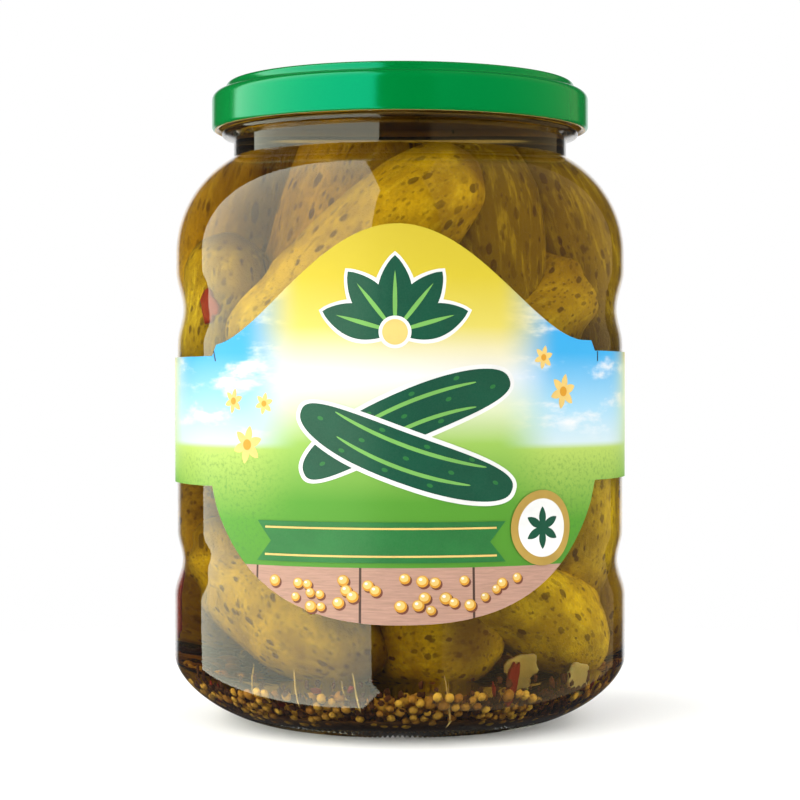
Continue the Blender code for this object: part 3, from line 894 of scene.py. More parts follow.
def gherkin_axes(azimuth, lean, pitch):
    turn, lean, pitch = (math.radians(a) for a in (azimuth, lean, pitch))
    out = Vector((math.sin(turn), -math.cos(turn), 0))
    right = Vector((math.cos(turn), math.sin(turn), 0))
    up = Vector((0, 0, 1))
    along = (up * math.cos(lean) + right * math.sin(lean)) * math.cos(pitch) - out * math.sin(pitch)
    return along.normalized(), out


def gherkin_spine(middle, gherkin, share):
    azimuth, _, _, length, _, lean, pitch, bow, _ = gherkin
    along, out = gherkin_axes(azimuth, lean, pitch)
    return middle + along * (length / 2 * share) + out * bow * (0.4 - share * share)


def gherkin_girth(gherkin, share):
    slim = 1 - STEM_TAPER * (1 - share) / 2
    return gherkin[4] / 2 * slim * max(0.0, 1 - abs(share) ** TIP_POWER) ** 0.5


def settled():
    """The middles of the gherkins once those that overlap have pushed each other apart, inside the jar."""
    places = np.array([around(math.radians(g[0]), g[1], g[2]) for g in GHERKINS])
    shares = np.linspace(-0.86, 0.86, SPINE_BALLS)
    spines = np.array([[gherkin_spine(Vector(), g, s) for s in shares] for g in GHERKINS])
    girths = np.array([[gherkin_girth(g, s) for s in shares] for g in GHERKINS]) * (1 + RIDGE)
    give = 1 - np.array([g[8] for g in GHERKINS])
    wall_radii, wall_heights = np.array(jar_inside(COARSE_STEPS)).T
    for _ in range(SETTLE_STEPS):
        balls = places[:, None] + spines
        push = np.zeros_like(places)
        for i in range(len(GHERKINS)):
            for j in range(i + 1, len(GHERKINS)):
                apart = balls[i][:, None] - balls[j][None]
                distance = np.linalg.norm(apart, axis=2) + 1e-9
                depth = girths[i][:, None] + girths[j][None] - distance
                k = np.unravel_index(np.argmax(depth), depth.shape)
                if depth[k] > 0:
                    step = apart[k] / distance[k] * depth[k] / 2
                    push[i] += step * give[i]
                    push[j] -= step * give[j]
        places = places + 0.5 * push
        balls = places[:, None] + spines
        out = np.hypot(balls[..., 0], balls[..., 1])
        inward = -places[:, :2] / np.linalg.norm(places[:, :2], axis=1, keepdims=True)
        for angle in (-0.9, -0.45, 0.0, 0.45, 0.9):
            wall = np.interp(balls[..., 2] + girths * math.sin(angle), wall_heights, wall_radii)
            over = out + girths * math.cos(angle) - (wall - WALL_GAP)
            places[:, :2] += inward * np.maximum(0, over.max(axis=1))[:, None]
        places[:, 2] += np.maximum(0, HEAP_FLOOR - (balls[..., 2] - girths).min(axis=1))
        places[:, 2] -= np.maximum(0, (balls[..., 2] + girths).max(axis=1) - HEAP_TOP)
    return [Vector(p) for p in places]


class GHERKINJAR_OT_glass(bpy.types.Operator):
    """Models the glass jar: pushed-up base, scalloped foot, ribbed side, bead, rim and inside"""

    bl_idname = "gherkin_jar.glass"
    bl_label = "Glass Jar"

    def execute(self, context):
        look = settings().glass
        base = [(FOOT_INNER * i / 8, PUSH_UP * (1 - (i / 8) ** 3)) for i in range(9)]
        base.append((FOOT_INNER + 0.5, FOOT_ROUND))
        side = jar_side()
        side[0] = (FOOT_OUTER - 0.6, FOOT_ROUND)
        neck = [(NECK_RADIUS, BEAD_HEIGHT - 1.2)]
        bead_middle = BEAD_RADIUS - VISIBLE_BEAD_RADIUS
        bead = arc(bead_middle, VISIBLE_BEAD_HEIGHT, VISIBLE_BEAD_RADIUS, -80, 70, 8)
        rim = arc(FINISH_RADIUS - RIM_ROUND, RIM_TOP - RIM_ROUND, RIM_ROUND, 0, 90, 4)
        rim += arc(RIM_INNER_RADIUS + RIM_ROUND, RIM_TOP - RIM_ROUND, RIM_ROUND, 90, 180, 4)
        waist = [(FINISH_RADIUS, BEAD_HEIGHT + 1.2)]
        profile = base + side + neck + bead + waist + rim + jar_inside()[::-1] + jar_floor()[::-1]
        jar = turned_piece("glass_jar", profile, look.knurls * 2)
        places = points_of(jar)
        reach = np.hypot(places[:, 0], places[:, 1]) / MM
        band = np.clip((reach - KNURL_START) / KNURL_REACH, 0, 1)
        low = (band > 0) & (band < 1) & (places[:, 2] < KNURL_TOP * MM)
        turns = np.arctan2(places[:, 1], places[:, 0])
        notch = (1 - np.cos(turns * look.knurls)) / 2 * np.sin(band * math.pi) ** 0.5
        places[low, 2] += (notch * look.knurl_height)[low]
        move_points(jar, places)
        finish_piece(jar, [glass_finish()], 50, ["jar"])
        return {"FINISHED"}


class GHERKINJAR_OT_brine(bpy.types.Operator):
    """Models the brine: it reaches just into the glass all round, and stands level under the lid"""

    bl_idname = "gherkin_jar.brine"
    bl_label = "Brine"

    def execute(self, context):
        level = settings().brine.level / MM
        edge = RIM_INNER_RADIUS + BRINE_INTO_WALL - 0.04
        top = [(edge, level + 0.6), (edge - 0.6, level + 0.15), (edge - 1.6, level), (0.0, level)]
        profile = jar_floor(BRINE_INTO_WALL) + jar_inside(out=BRINE_INTO_WALL) + top
        brine = turned_piece("brine", profile, BRINE_SEGMENTS)
        finish_piece(brine, [brine_finish()], 50)
        return {"FINISHED"}


class GHERKINJAR_OT_lid(bpy.types.Operator):
    """Models the lid: button, panel, raised ring, skirt and curl, six lugs and the sealing ring inside"""

    bl_idname = "gherkin_jar.lid"
    bl_label = "Lid"

    def execute(self, context):
        look = settings().lid
        ring, panel = LID_RING_RADIUS, LID_TOP - LID_PANEL_DEPTH
        curl_radius, curl_height = LID_RADIUS - CURL_RADIUS, LID_BOTTOM + CURL_RADIUS
        corner = (LID_RADIUS - LID_SHELF_CORNER, LID_SHELF - LID_SHELF_CORNER)
        outside = [
            (BUTTON_RADIUS * s, panel + BUTTON_RISE * (1 - 0.2 * s**2)) for s in (0.0, 0.35, 0.7, 0.9, 1.0)
        ]
        for s in (0.25, 0.5, 0.75, 1.0):
            outside.append((BUTTON_RADIUS + 2.0 * s, panel + BUTTON_RISE * 0.8 * (1 - s * s * (3 - 2 * s))))
        for s in (0.0, 0.2, 0.4, 0.6, 0.8, 1.0):
            rise = (LID_PANEL_DEPTH - 0.05) * s * s * (3 - 2 * s)
            outside.append((ring - 2.0 + 2.4 * s, panel + rise))
        outside.append((ring + 1.0, LID_TOP))
        outside += arc(ring + 2.0, LID_TOP - 0.9, 0.9, 90, 12, 6)
        outside += [(ring + 3.15, LID_SHELF + 0.5), (ring + 3.4, LID_SHELF + 0.16)]
        outside += [(ring + 3.8, LID_SHELF + 0.02)]
        outside += arc(*corner, LID_SHELF_CORNER, 88, 0, 9)
        curl = arc(curl_radius, curl_height, CURL_RADIUS, 0, -CURL_TURN, 16)
        inside = [(LID_RADIUS - LID_SHEET, curl_height + 1.0)]
        inside += arc(*corner, LID_SHELF_CORNER - LID_SHEET, 0, 85, 5)
        inside += [(ring + 3.0, LID_SHELF - LID_SHEET), (ring + 2.75, LID_SHELF)]
        inside += [(ring + 2.55, LID_TOP - 1.0), (ring + 2.1, LID_TOP - 0.5)]
        inside += [(ring + 0.6, LID_TOP - LID_SHEET), (ring - 1.8, panel - LID_SHEET)]
        inside += [(0.0, panel - LID_SHEET)]
        lid = turned_piece("lid_shell", outside + curl + inside, LID_SEGMENTS)
        lugs = [self.lug(i, curl_height + 0.35) for i in range(LUGS)]
        round_seal = arc(RIM_INNER_RADIUS + 1.7, 0.0, SEAL_RADIUS, 0, 345, 23)
        compound = [(r, RIM_TOP + SEAL_HEIGHT + SEAL_SQUASH * h) for r, h in round_seal]
        seal = turned_piece("sealing_ring", compound, LID_SEGMENTS // 2, closed=True)
        finish_piece(seal, [pale_finish("sealing_compound", look.compound, 0.55)])
        lid = join_pieces([lid, *lugs], "lid_shell")
        finishes = [enamel_finish(), pale_finish("lid_lacquer", look.lacquer, 0.2)]
        finish_piece(lid, finishes, 40, ["lid"])
        for face in lid.data.polygons:
            radius = math.hypot(face.center.x, face.center.y)
            outward = (face.normal.x * face.center.x + face.normal.y * face.center.y) / max(radius, 1e-6)
            under = face.normal.z < -0.3 and radius < (LID_RADIUS - 0.5) * MM
            inner_wall = outward < -0.15 and face.center.z < corner[1] * MM
            face.material_index = int(inner_wall or under)
        return {"FINISHED"}

    def lug(self, number, height):
        """One lug, pressed inwards from the curl."""
        nothing_selected()
        bpy.ops.mesh.primitive_cube_add(size=MM)
        bpy.ops.object.mode_set(mode="EDIT")
        bpy.ops.transform.resize(value=LUG_SIZE)
        bpy.ops.mesh.bevel(offset=0.35 * MM, segments=3, affect="EDGES")
        bpy.ops.object.mode_set(mode="OBJECT")
        piece = named("lug")
        azimuth = math.radians(FIRST_LUG + 360 / LUGS * number)
        place = Vector(around(azimuth, LUG_REACH, height)) * MM
        piece.data.transform(Matrix.Translation(place) @ Matrix.Rotation(azimuth, 4, "Z"))
        return piece


class GHERKINJAR_OT_label(bpy.types.Operator):
    """Models the paper label: a band round the jar with a lobe above and below, lapped at the back"""

    bl_idname = "gherkin_jar.label"
    bl_label = "Label"

    def execute(self, context):
        columns, rows = LABEL_GRID
        nothing_selected()
        bpy.ops.mesh.primitive_grid_add(x_subdivisions=columns, y_subdivisions=rows, size=2.0)
        label = named("label_sheet")
        flat = points_of(label)
        stretch = np.linspace(-LABEL_HALF, LABEL_HALF + SEAM_OVERLAP, 2001)
        shares, index = np.unique(np.round(flat[:, 0], 6), return_inverse=True)
        line = np.interp((shares + 1) / 2, np.linspace(0, 1, 2001), stretch)
        left, right = np.argmin(abs(line - LOBE_LEFT)), np.argmin(abs(line - LOBE_RIGHT))
        line[left], line[left + 1] = LOBE_LEFT, LOBE_LEFT + STEP_SLANT
        line[right], line[right - 1] = LOBE_RIGHT, LOBE_RIGHT - STEP_SLANT
        line[left + 2] = (line[left + 1] + line[left + 3]) / 2
        line[right - 2] = (line[right - 1] + line[right - 3]) / 2
        raised = (np.arange(len(line)) > left) & (np.arange(len(line)) < right)
        edges = np.array([label_edges(a, up) for a, up in zip(line, raised)])
        across = line[index]
        up = (flat[:, 1] + 1) / 2
        height = edges[index, 0] + (edges[index, 1] - edges[index, 0]) * up
        lift = LABEL_OUT + LAP_RISE * np.clip((across - LABEL_HALF + LAP_SLOPE) / LAP_SLOPE, 0, 1)
        move_points(label, wrapped(across, height, lift))
        spread = label.data.uv_layers.active or label.data.uv_layers.new(name="UVMap")
        corners = np.empty(len(label.data.loops), dtype=np.int32)
        label.data.loops.foreach_get("vertex_index", corners)
        places = np.stack([across / MAP_ACROSS + 0.5, height / MAP_HEIGHT], axis=1)[corners]
        spread.data.foreach_set("uv", places.astype(np.float32).ravel())
        label.data.update()
        if label.data.polygons[0].normal.dot(label.data.polygons[0].center) < 0:
            label.data.flip_normals()
        apply_modifier(label, "SOLIDIFY", thickness=LABEL_PAPER * MM, offset=-1.0)
        finish_piece(label, [paper_finish()], 35, ["label"])
        return {"FINISHED"}


def placed(middle, spin, along, off):
    """A point of the flat label, given along and off a shape's own direction from its middle."""
    x = middle[0] + along * math.cos(spin) - off * math.sin(spin)
    return x, middle[1] + along * math.sin(spin) + off * math.cos(spin)


def bar(left, right, low, thick, slant=0.0):
    """The outline of a straight bar, whose top may lean to one side."""
    high = low + thick
    return [(left, low), (right, low), (right + slant, high), (left + slant, high)]


def oval(middle, wide, tall, turn=0.0, steps=48):
    """The outline of an ellipse, turned in degrees."""
    spin = math.radians(turn)
    points = []
    for i in range(steps):
        angle = 2 * math.pi * i / steps
        points.append(placed(middle, spin, wide / 2 * math.cos(angle), tall / 2 * math.sin(angle)))
    return points


def leaf(root, length, width, turn, grow=0.0, steps=18):
    """A pointed leaf that grows from its root, with turn 0 upwards and + to the right."""
    spin = math.radians(90 - turn)
    points = []
    for side in (1, -1):
        for i in range(steps):
            share = i / steps if side > 0 else 1 - i / steps
            x = (length + 2 * grow) * share - grow
            y = side * (width / 2 + grow) * math.sin(math.pi * share) ** 0.8
            points.append(placed(root, spin, x, y))
    return points


def capsule(middle, length, thick, turn, bow, grow=0.0, steps=40):
    """A bowed gherkin outline lying at an angle."""
    spin = math.radians(turn)
    half, radius = length / 2 + grow, thick / 2 + grow
    points = []
    for i in range(2 * steps):
        angle = math.pi * i / steps
        x = half * math.copysign(abs(math.cos(angle)) ** 0.75, math.cos(angle))
        y = radius * math.copysign(abs(math.sin(angle)) ** 0.8, math.sin(angle))
        y += bow * (1 - (x / half) ** 2)
        points.append(placed(middle, spin, x, y))
    return points


class GHERKINJAR_OT_print(bpy.types.Operator):
    """Models the shapes printed on the label: leaves, gherkins, ribbon, flowers, seeds and a ring"""

    bl_idname = "gherkin_jar.print"
    bl_label = "Label Print"

    def execute(self, context):
        look = settings().label
        self.pieces = []
        self.inks = {
            "ink": ink_finish("dark_green_ink", look.ink),
            "white": ink_finish("white_ink", srgb(250, 250, 246)),
            "straw": ink_finish("straw_ink", look.straw),
            "gold": ink_finish("gold_ink", look.gold, 0.3, 0.3),
            "light": ink_finish("light_green_ink", srgb(126, 190, 92)),
            "ribbon": ink_finish("ribbon_ink", srgb(40, 122, 58)),
            "amber": ink_finish("amber_ink", srgb(226, 160, 40)),
            "shadow": ink_finish("shadow_ink", srgb(120, 66, 48)),
            "black": ink_finish("slit_shadow", srgb(30, 34, 30)),
        }
        self.spray()
        self.crossed_gherkins()
        self.ribbon()
        self.flowers()
        self.seeds()
        self.medallion()
        self.sprigs()
        self.slits()
        piece = join_pieces(self.pieces, "label_print")
        finish_piece(piece, [], 35)
        return {"FINISHED"}

    def shape(self, outline, ink, layer):
        """One printed shape: a filled outline, cut into strips that follow the round of the jar."""
        nothing_selected()
        bpy.ops.mesh.primitive_circle_add(vertices=len(outline), radius=1.0, fill_type="NGON")
        piece = named("print_shape")
        move_points(piece, [(x, y, 0) for x, y in outline])
        xs, ys = zip(*outline)
        bends = [LOWER_BELLY_TOP, PANEL_BOTTOM, PANEL_TOP, UPPER_BELLY_BOTTOM]
        bends += [*np.arange(22.0, 29.0, 1.0), *np.arange(100.5, 108.0, 1.0)]
        cuts = [((x, 0, 0), (1, 0, 0)) for x in np.arange(math.ceil(min(xs)), max(xs), PRINT_STRIP)]
        cuts += [((0, y, 0), (0, 1, 0)) for y in bends if min(ys) < y < max(ys)]
        bpy.ops.object.mode_set(mode="EDIT")
        for place, normal in cuts:
            bpy.ops.mesh.select_all(action="SELECT")
            bpy.ops.mesh.bisect(plane_co=place, plane_no=normal)
        bpy.ops.object.mode_set(mode="OBJECT")
        flat = points_of(piece)
        move_points(piece, wrapped(flat[:, 0], flat[:, 1], LABEL_OUT + PRINT_LIFT * layer))
        first = piece.data.polygons[0]
        if first.normal.dot(first.center) < 0:
            piece.data.flip_normals()
        piece.data.materials.append(self.inks[ink])
        self.pieces.append(piece)

    def spray(self):
        """Five leaves over a bud at the top of the label."""
        root, turns = (-1.0, 85.0), (-74, -38, 0, 38, 74)
        length, width = 15.5, 7.0
        for turn in turns:
            self.shape(leaf(root, length, width, turn, 0.8), "white", 1)
        for turn in turns:
            self.shape(leaf(root, length, width, turn), "ink", 2)
            self.shape(leaf(root, length - 3.0, 0.9, turn), "light", 3)
        self.shape(oval(root, 6.6, 6.6), "white", 4)
        self.shape(oval(root, 5.2, 5.2), "straw", 5)

    def crossed_gherkins(self):
        """Two whole gherkins that cross, each with two pale stripes and three rows of dots."""
        length, thick = 47.0, 10.0
        for layer, turn, bow, middle in ((6, 24, 2.0, (1.5, 66.0)), (9, -20, -1.6, (1.5, 61.0))):
            self.shape(capsule(middle, length, thick, turn, bow, 0.9), "white", layer)
            self.shape(capsule(middle, length, thick, turn, bow), "ink", layer + 1)
            spin = math.radians(turn)
            for off, stripe in ((2.4, 33.0), (-2.2, 29.0)):
                place = placed(middle, spin, 0.0, off)
                self.shape(capsule(place, stripe, 0.8, turn, bow), "light", layer + 2)
            for i in range(13):
                along, off = -19.0 + 3.2 * i, (0.1, 3.7, -3.6)[i % 3] + bow * (1 - (i / 6 - 1) ** 2)
                if abs(along) > 15 and i % 3:
                    continue
                dot = oval(placed(middle, spin, along, off), 1.3, 0.8, turn, 16)
                self.shape(dot, "ribbon", layer + 2)

    def ribbon(self):
        """A straight ribbon with forked ends and a thin line along each edge."""
        low, high = 38.4, 46.6
        left, right, fork = -31.0, 22.0, 3.4
        middle = (low + high) / 2
        outline = [(left, low), (right, low), (right - fork, middle)]
        outline += [(right, high), (left, high), (left + fork, middle)]
        self.shape(outline, "ribbon", 12)
        for height in (low + 1.1, high - 1.5):
            self.shape(bar(left + 2, right - 2, height, 0.4), "straw", 13)

    def flowers(self):
        """Flowers of six petals at both sides, each given by its middle and size."""
        left = (((-34, 62), 8.0), ((-38, 71), 5.4), ((-29.5, 70.5), 4.6))
        right = (((37, 73), 7.4), ((31.5, 80), 5.0))
        for middle, size in left + right:
            for petal in range(6):
                self.shape(leaf(middle, size / 2, size / 4.2, petal * 60 + 12), "straw", 2)
            self.shape(oval(middle, size / 3.6, size / 3.6, steps=20), "amber", 3)

    def seeds(self):
        """Seeds strewn in three rows along the bottom strip, each with its shadow and shine."""
        draw = random.Random(4)
        spacing = 3.6
        for row, (height, reach) in enumerate(((34.6, 29.0), (32.0, 24.5), (29.6, 19.0))):
            for i in range(int(2 * reach / spacing)):
                x = -reach + (i + 0.5 * (row % 2)) * spacing + draw.uniform(-1.3, 1.3)
                y = height + draw.uniform(-0.9, 0.9)
                size = draw.uniform(1.9, 2.6)
                if draw.random() < 0.22:
                    continue
                self.shape(oval((x + 0.3, y - 0.35), size * 1.05, size, steps=16), "shadow", 2)
                self.shape(oval((x, y), size, size * 0.95, steps=16), "amber", 3)
                self.shape(oval((x - 0.1, y + 0.15), size * 0.76, size * 0.7, steps=14), "straw", 4)
                self.shape(oval((x - 0.35, y + 0.4), size * 0.28, size * 0.22, steps=10), "white", 5)

    def medallion(self):
        """A ringed leaf star at the ribbon's right end."""
        middle = (31.0, 45.0)
        self.shape(oval(middle, 15.5, 15.5, steps=60), "gold", 14)
        self.shape(oval(middle, 12.0, 12.0, steps=60), "white", 15)
        for turn in range(0, 360, 60):
            self.shape(leaf(middle, 4.4, 1.8, turn), "ink", 16)

    def sprigs(self):
        """A row of three-leaved sprigs between two lines along the back of the band."""
        for across in (-132.0, -118.0, -104.0, 104.0, 118.0, 132.0, 146.0):
            root = (across, 62.0)
            for turn in (-52, 0, 52):
                self.shape(leaf(root, 9.0, 3.6, turn), "ribbon", 2)
                self.shape(leaf(root, 7.0, 0.5, turn), "light", 3)
            self.shape(oval(root, 2.2, 2.2, steps=16), "gold", 4)
        for start, end in ((-139.0, -97.5), (97.5, 152.0)):
            for height in (57.4, 76.4):
                self.shape(bar(start, end, height, 0.5), "ribbon", 2)

    def slits(self):
        """The two short slits where the band meets the lobes, drawn as dark bars: painted shadow in the cuts.
        """
        right = (LOBE_RIGHT + 0.9, BAND_TOP - 1.6, 0.0)
        left = (LOBE_LEFT + 1.1, BAND_TOP - 1.7, -0.7)
        for across, low, slant in (right, left):
            self.shape(bar(across, across + 0.4, low, 2.1, slant), "black", 2)


class GHERKINJAR_OT_gherkins(bpy.types.Operator):
    """Models the gherkins one by one, with ribs, lumps, warts and scars, over the core of the heap"""

    bl_idname = "gherkin_jar.gherkins"
    bl_label = "Gherkins"

    def execute(self, context):
        draw = np.random.default_rng(11)
        pieces = []
        for number, (middle, gherkin) in enumerate(zip(settled(), GHERKINS)):
            detail = FRONT_MESH if number < FRONT_GHERKINS else BACK_MESH
            # The darker tones of the first gherkins are painted shade; the others differ at random
            tone = SKIN_TONES_AND_SHADE[number] if number < len(SKIN_TONES_AND_SHADE) else draw.uniform(0.0, 0.35)
            pieces.append(self.gherkin(middle, gherkin, detail, tone, draw))
        pieces.append(self.core())
        heap = join_pieces(pieces, "gherkin_heap")
        finish_piece(heap, [skin_finish()], 60, ["gherkins"])
        return {"FINISHED"}

    def gherkin(self, middle, gherkin, detail, tone, draw):
        look = settings().gherkins
        nothing_selected()
        segments, rings = detail
        bpy.ops.mesh.primitive_uv_sphere_add(segments=segments, ring_count=rings, radius=1.0)
        piece = named("gherkin")
        ball = points_of(piece)
        share = np.clip(ball[:, 2], -1, 1)
        turn = np.arctan2(ball[:, 1], ball[:, 0])
        azimuth, _, _, length, thick, lean, pitch, bow, _ = gherkin
        along, out = gherkin_axes(azimuth, lean, pitch)
        across = along.cross(out).normalized()
        square = across.cross(along).normalized()
        girth = np.array([gherkin_girth(gherkin, s) for s in share])
        skin = np.stack([girth * np.cos(turn), girth * np.sin(turn), share * length / 2], axis=1)

        wart = np.zeros(len(share))
        for _ in range(look.warts):
            at_share, at_turn = draw.uniform(-0.9, 0.93), draw.uniform(-math.pi, math.pi)
            long, wide = draw.uniform(0.5, 1.1), draw.uniform(0.4, 0.65)
            skew = draw.normal(0, 0.25)
            away = np.angle(np.exp(1j * (turn - at_turn))) * np.maximum(girth, 2.0)
            up = (share - at_share) * length / 2
            near = np.exp(-(((up + away * skew) / long) ** 2) - ((away - up * skew) / wide) ** 2)
            wart = np.maximum(wart, near * draw.uniform(0.55, 1.0))

        offset = Vector(draw.uniform(-50, 50, 3))
        lumps = np.array([noise.noise((Vector(p) + offset) / 11.0) for p in skin])
        ribs = np.cos(turn * 9 + 2.0 * np.array([noise.noise(Vector(p) / 19.0 - offset) for p in skin]))
        ends = np.exp(-(((1 - abs(share)) * length / 2) / 2.2) ** 2)
        rise = 0.55 * lumps + 0.14 * ribs + look.wart_height / MM * wart - 0.9 * ends
        body = np.clip(girth / 6.0, 0, 1)
        reach = girth * (1 + RIDGE * np.cos(3 * turn + azimuth)) + np.minimum(rise, 0.75) * body
        spine = np.array([gherkin_spine(middle, gherkin, s) for s in share])
        spine -= np.array(along)[None] * (np.sign(share) * ends * 0.9)[:, None]
        places = spine + np.outer(reach * np.cos(turn), square) + np.outer(reach * np.sin(turn), across)
        move_points(piece, places * MM)
        write_attribute(piece, "wart", wart)
        write_attribute(piece, "scar", np.clip(ends * 1.2, 0, 1))
        write_attribute(piece, "tint", np.full(len(share), tone))
        write_attribute(piece, "skin_place", (skin + np.array(offset) * 7) * MM, "FLOAT_VECTOR")
        return piece

    def core(self):
        """The slim lumpy core that fills the middle of the heap, where nothing can be seen apart, in the
        darkest skin as painted shade between the gherkins.
        """
        profile = [
            (r, h)
            for (r0, h0), (r1, h1) in zip(CORE_PROFILE, CORE_PROFILE[1:])
            for r, h in ((r0 + (r1 - r0) * s / 6, h0 + (h1 - h0) * s / 6) for s in range(6))
        ]
        core = turned_piece("core", profile + [CORE_PROFILE[-1]], 40)
        places = points_of(core)
        turn = np.arctan2(places[:, 1], places[:, 0])
        shrink = 0.9 + 0.07 * np.cos(turn * 6 + places[:, 2] * 40)
        places[:, :2] *= shrink[:, None]
        move_points(core, places)
        for name in ("wart", "scar"):
            write_attribute(core, name, np.zeros(len(places)))
        # The core takes the darkest skin: painted shade in the gaps between the gherkins
        write_attribute(core, "tint", np.ones(len(places)))
        write_attribute(core, "skin_place", places, "FLOAT_VECTOR")
        return core


class GHERKINJAR_OT_seeds(bpy.types.Operator):
    """Models the bed of mustard seeds and spice in the corner of the floor"""

    bl_idname = "gherkin_jar.seeds"
    bl_label = "Seed Bed"

    def execute(self, context):
        look = settings().spice
        radii, heights = zip(*heel(INNER_FOOT, BELLY_RADIUS - WALL, FLOOR_EDGE, INNER_HEEL_TOP, 2.0, 40))
        outer = float(np.interp(BED_TOP - 0.9, heights, radii)) - 2.6
        core = turned_piece(
            "seed_bed",
            [
                (BED_INNER, FLOOR_EDGE + 1.75),
                (INNER_FOOT - 1.0, FLOOR_EDGE + 0.5),
                (INNER_FOOT + 4.0, FLOOR_EDGE + 0.8),
                (outer, BED_TOP - 1.9),
                (outer + 0.4, BED_TOP - 1.0),
                (outer - 3.0, BED_TOP - 0.6),
                (BED_INNER + 1.5, BED_TOP - 0.6),
            ],
            180,
            closed=True,
        )
        apply_modifier(core, "SUBSURF", levels=2, render_levels=2)
        places = points_of(core)
        bumps = np.array([noise.noise(Vector(p) / 0.0016) for p in places]) * 0.35 * MM
        top = places[:, 2] > (BED_TOP - 1.4) * MM
        places[top, 2] += bumps[top]
        move_points(core, places)
        # Lighter on the tops of the bumps and darker in the dips between them: painted shade
        write_attribute(core, "tint", np.clip(0.35 + bumps / MM, 0, 1))
        earth = grain_finish("seed_bed", srgb(60, 30, 12), srgb(150, 100, 40), 0.6)
        finish_piece(core, [earth], 60, ["mustard_seeds"])
        seeds, spice = self.scatter(look.seeds, radii, heights)
        gold = grain_finish("mustard_seed", srgb(150, 96, 28), look.seed, 0.45)
        grains = self.grains("mustard_seed_grains", seeds, 2, 0.06)
        finish_piece(grains, [gold], 80)
        crumbs = self.crumbs(look.crumbs, radii, heights, 13)
        brown = grain_finish("spice", toned(look.spice, 0.5), look.spice, 0.6)
        grains = self.grains("spice_grains", spice + crumbs, 1, 0.35)
        finish_piece(grains, [brown], 30)
        flecks = self.crumbs(look.flecks, radii, heights, 8)
        red = grain_finish("pepper_fleck", toned(look.pepper, 0.5), look.pepper, 0.4)
        grains = self.grains("pepper_flecks", flecks, 1, 0.3, (2.2, 0.8, 1.2))
        finish_piece(grains, [red], 40)
        stalks = self.crumbs(look.stalks, radii, heights, 21)
        straw = grain_finish("dill_stalk", srgb(168, 130, 58), srgb(226, 198, 118), 0.5)
        grains = self.grains("dill_stalks", stalks, 2, 0.05, (0.28, 0.28, 5.5))
        finish_piece(grains, [straw], 60)
        return {"FINISHED"}

    def crumbs(self, count, radii, heights, seed):
        """Where small bits lie at the glass and between the seeds, as place, radius and tint."""
        draw = random.Random(seed)
        found = []
        for _ in range(count):
            height = FLOOR_EDGE + 1.6 + 7.5 * draw.random() ** 1.2
            wall = float(np.interp(height - 0.5, heights, radii)) - 1.3
            reach = wall - 5.0 * draw.random() ** 2
            azimuth = draw.uniform(0, 2 * math.pi)
            place = Vector(around(azimuth, reach, height))
            found.append((place, draw.uniform(0.35, 0.75), draw.random()))
        return found

    def scatter(self, count, radii, heights):
        """Where grains lie, none through another, as place, radius and tint: first seeds, then spice."""
        draw = random.Random(5)
        taken = {}
        found = []
        cell = 2.6
        for _ in range(count * 60):
            if len(found) >= count:
                break
            radius = draw.uniform(0.82, 1.3)
            height = FLOOR_EDGE + 1.4 + (GRAIN_TOP - FLOOR_EDGE - 1.4) * draw.random() ** 1.4
            wall = float(np.interp(height - radius * 0.5, heights, radii)) - radius - 0.25
            at_glass = draw.random() < 0.6
            reach = wall - (draw.uniform(0, 0.5) if at_glass else draw.uniform(1.5, 11.0))
            if reach < BED_INNER + 2 or (not at_glass and height < BED_TOP - 0.2):
                continue
            azimuth = draw.uniform(0, 2 * math.pi)
            place = Vector(around(azimuth, reach, height))
            key = tuple(int(c // cell) for c in place)
            near = [
                other
                for dx in (-1, 0, 1)
                for dy in (-1, 0, 1)
                for dz in (-1, 0, 1)
                for other in taken.get((key[0] + dx, key[1] + dy, key[2] + dz), ())
            ]
            if any((place - p).length < 0.94 * (radius + r) for p, r in near):
                continue
            taken.setdefault(key, []).append((place, radius))
            found.append((place, radius, draw.random()))
        seeds, spice = [], []
        for place, radius, tint in found:
            patch = noise.noise(place / 9.0) + 0.5 * noise.noise(place / 3.0)
            if patch + draw.uniform(-0.3, 0.3) > -0.1:
                seeds.append((place, radius, tint))
            else:
                spice.append((place, radius * 0.85, tint))
        return seeds, spice

    def grains(self, name, places, levels, rough, stretch=(1.0, 1.0, 1.0)):
        """All grains of a kind as one mesh: a ball is modelled once, and each copy is turned and squeezed.

        A stretched grain lies along the glass or leans a little from upright.
        """
        nothing_selected()
        bpy.ops.mesh.primitive_ico_sphere_add(subdivisions=levels, radius=1.0)
        ball = named(name)
        base = points_of(ball)
        faces = np.array([list(f.vertices) for f in ball.data.polygons])
        draw = np.random.default_rng(3)
        points, corners, tints = [], [], []
        for number, (place, radius, tint) in enumerate(places):
            turn = np.array(Matrix.Rotation(draw.uniform(0, 6), 3, Vector(draw.normal(size=3))))
            if stretch[2] > 2:
                lean = Matrix.Rotation(draw.normal(0, 0.35), 3, Vector((place.x, place.y, 0)))
                turn = np.array((lean @ Matrix.Rotation(draw.uniform(0, 6), 3, "Z")).transposed())
            squeeze = (1 + draw.uniform(-1, 1, 3) * (0.04 + rough * 0.5)) * stretch
            uneven = 1 + draw.normal(0, rough * 0.4, (len(base), 1))
            points.append((base * squeeze * uneven) @ turn * radius + np.array(place))
            corners.append(faces + number * len(base))
            tints.append(np.full(len(base), tint))
        mesh = bpy.data.meshes.new(name)
        mesh.from_pydata(np.concatenate(points) * MM, [], np.concatenate(corners).tolist())
        ball.data = mesh
        write_attribute(ball, "tint", np.concatenate(tints))
        return ball


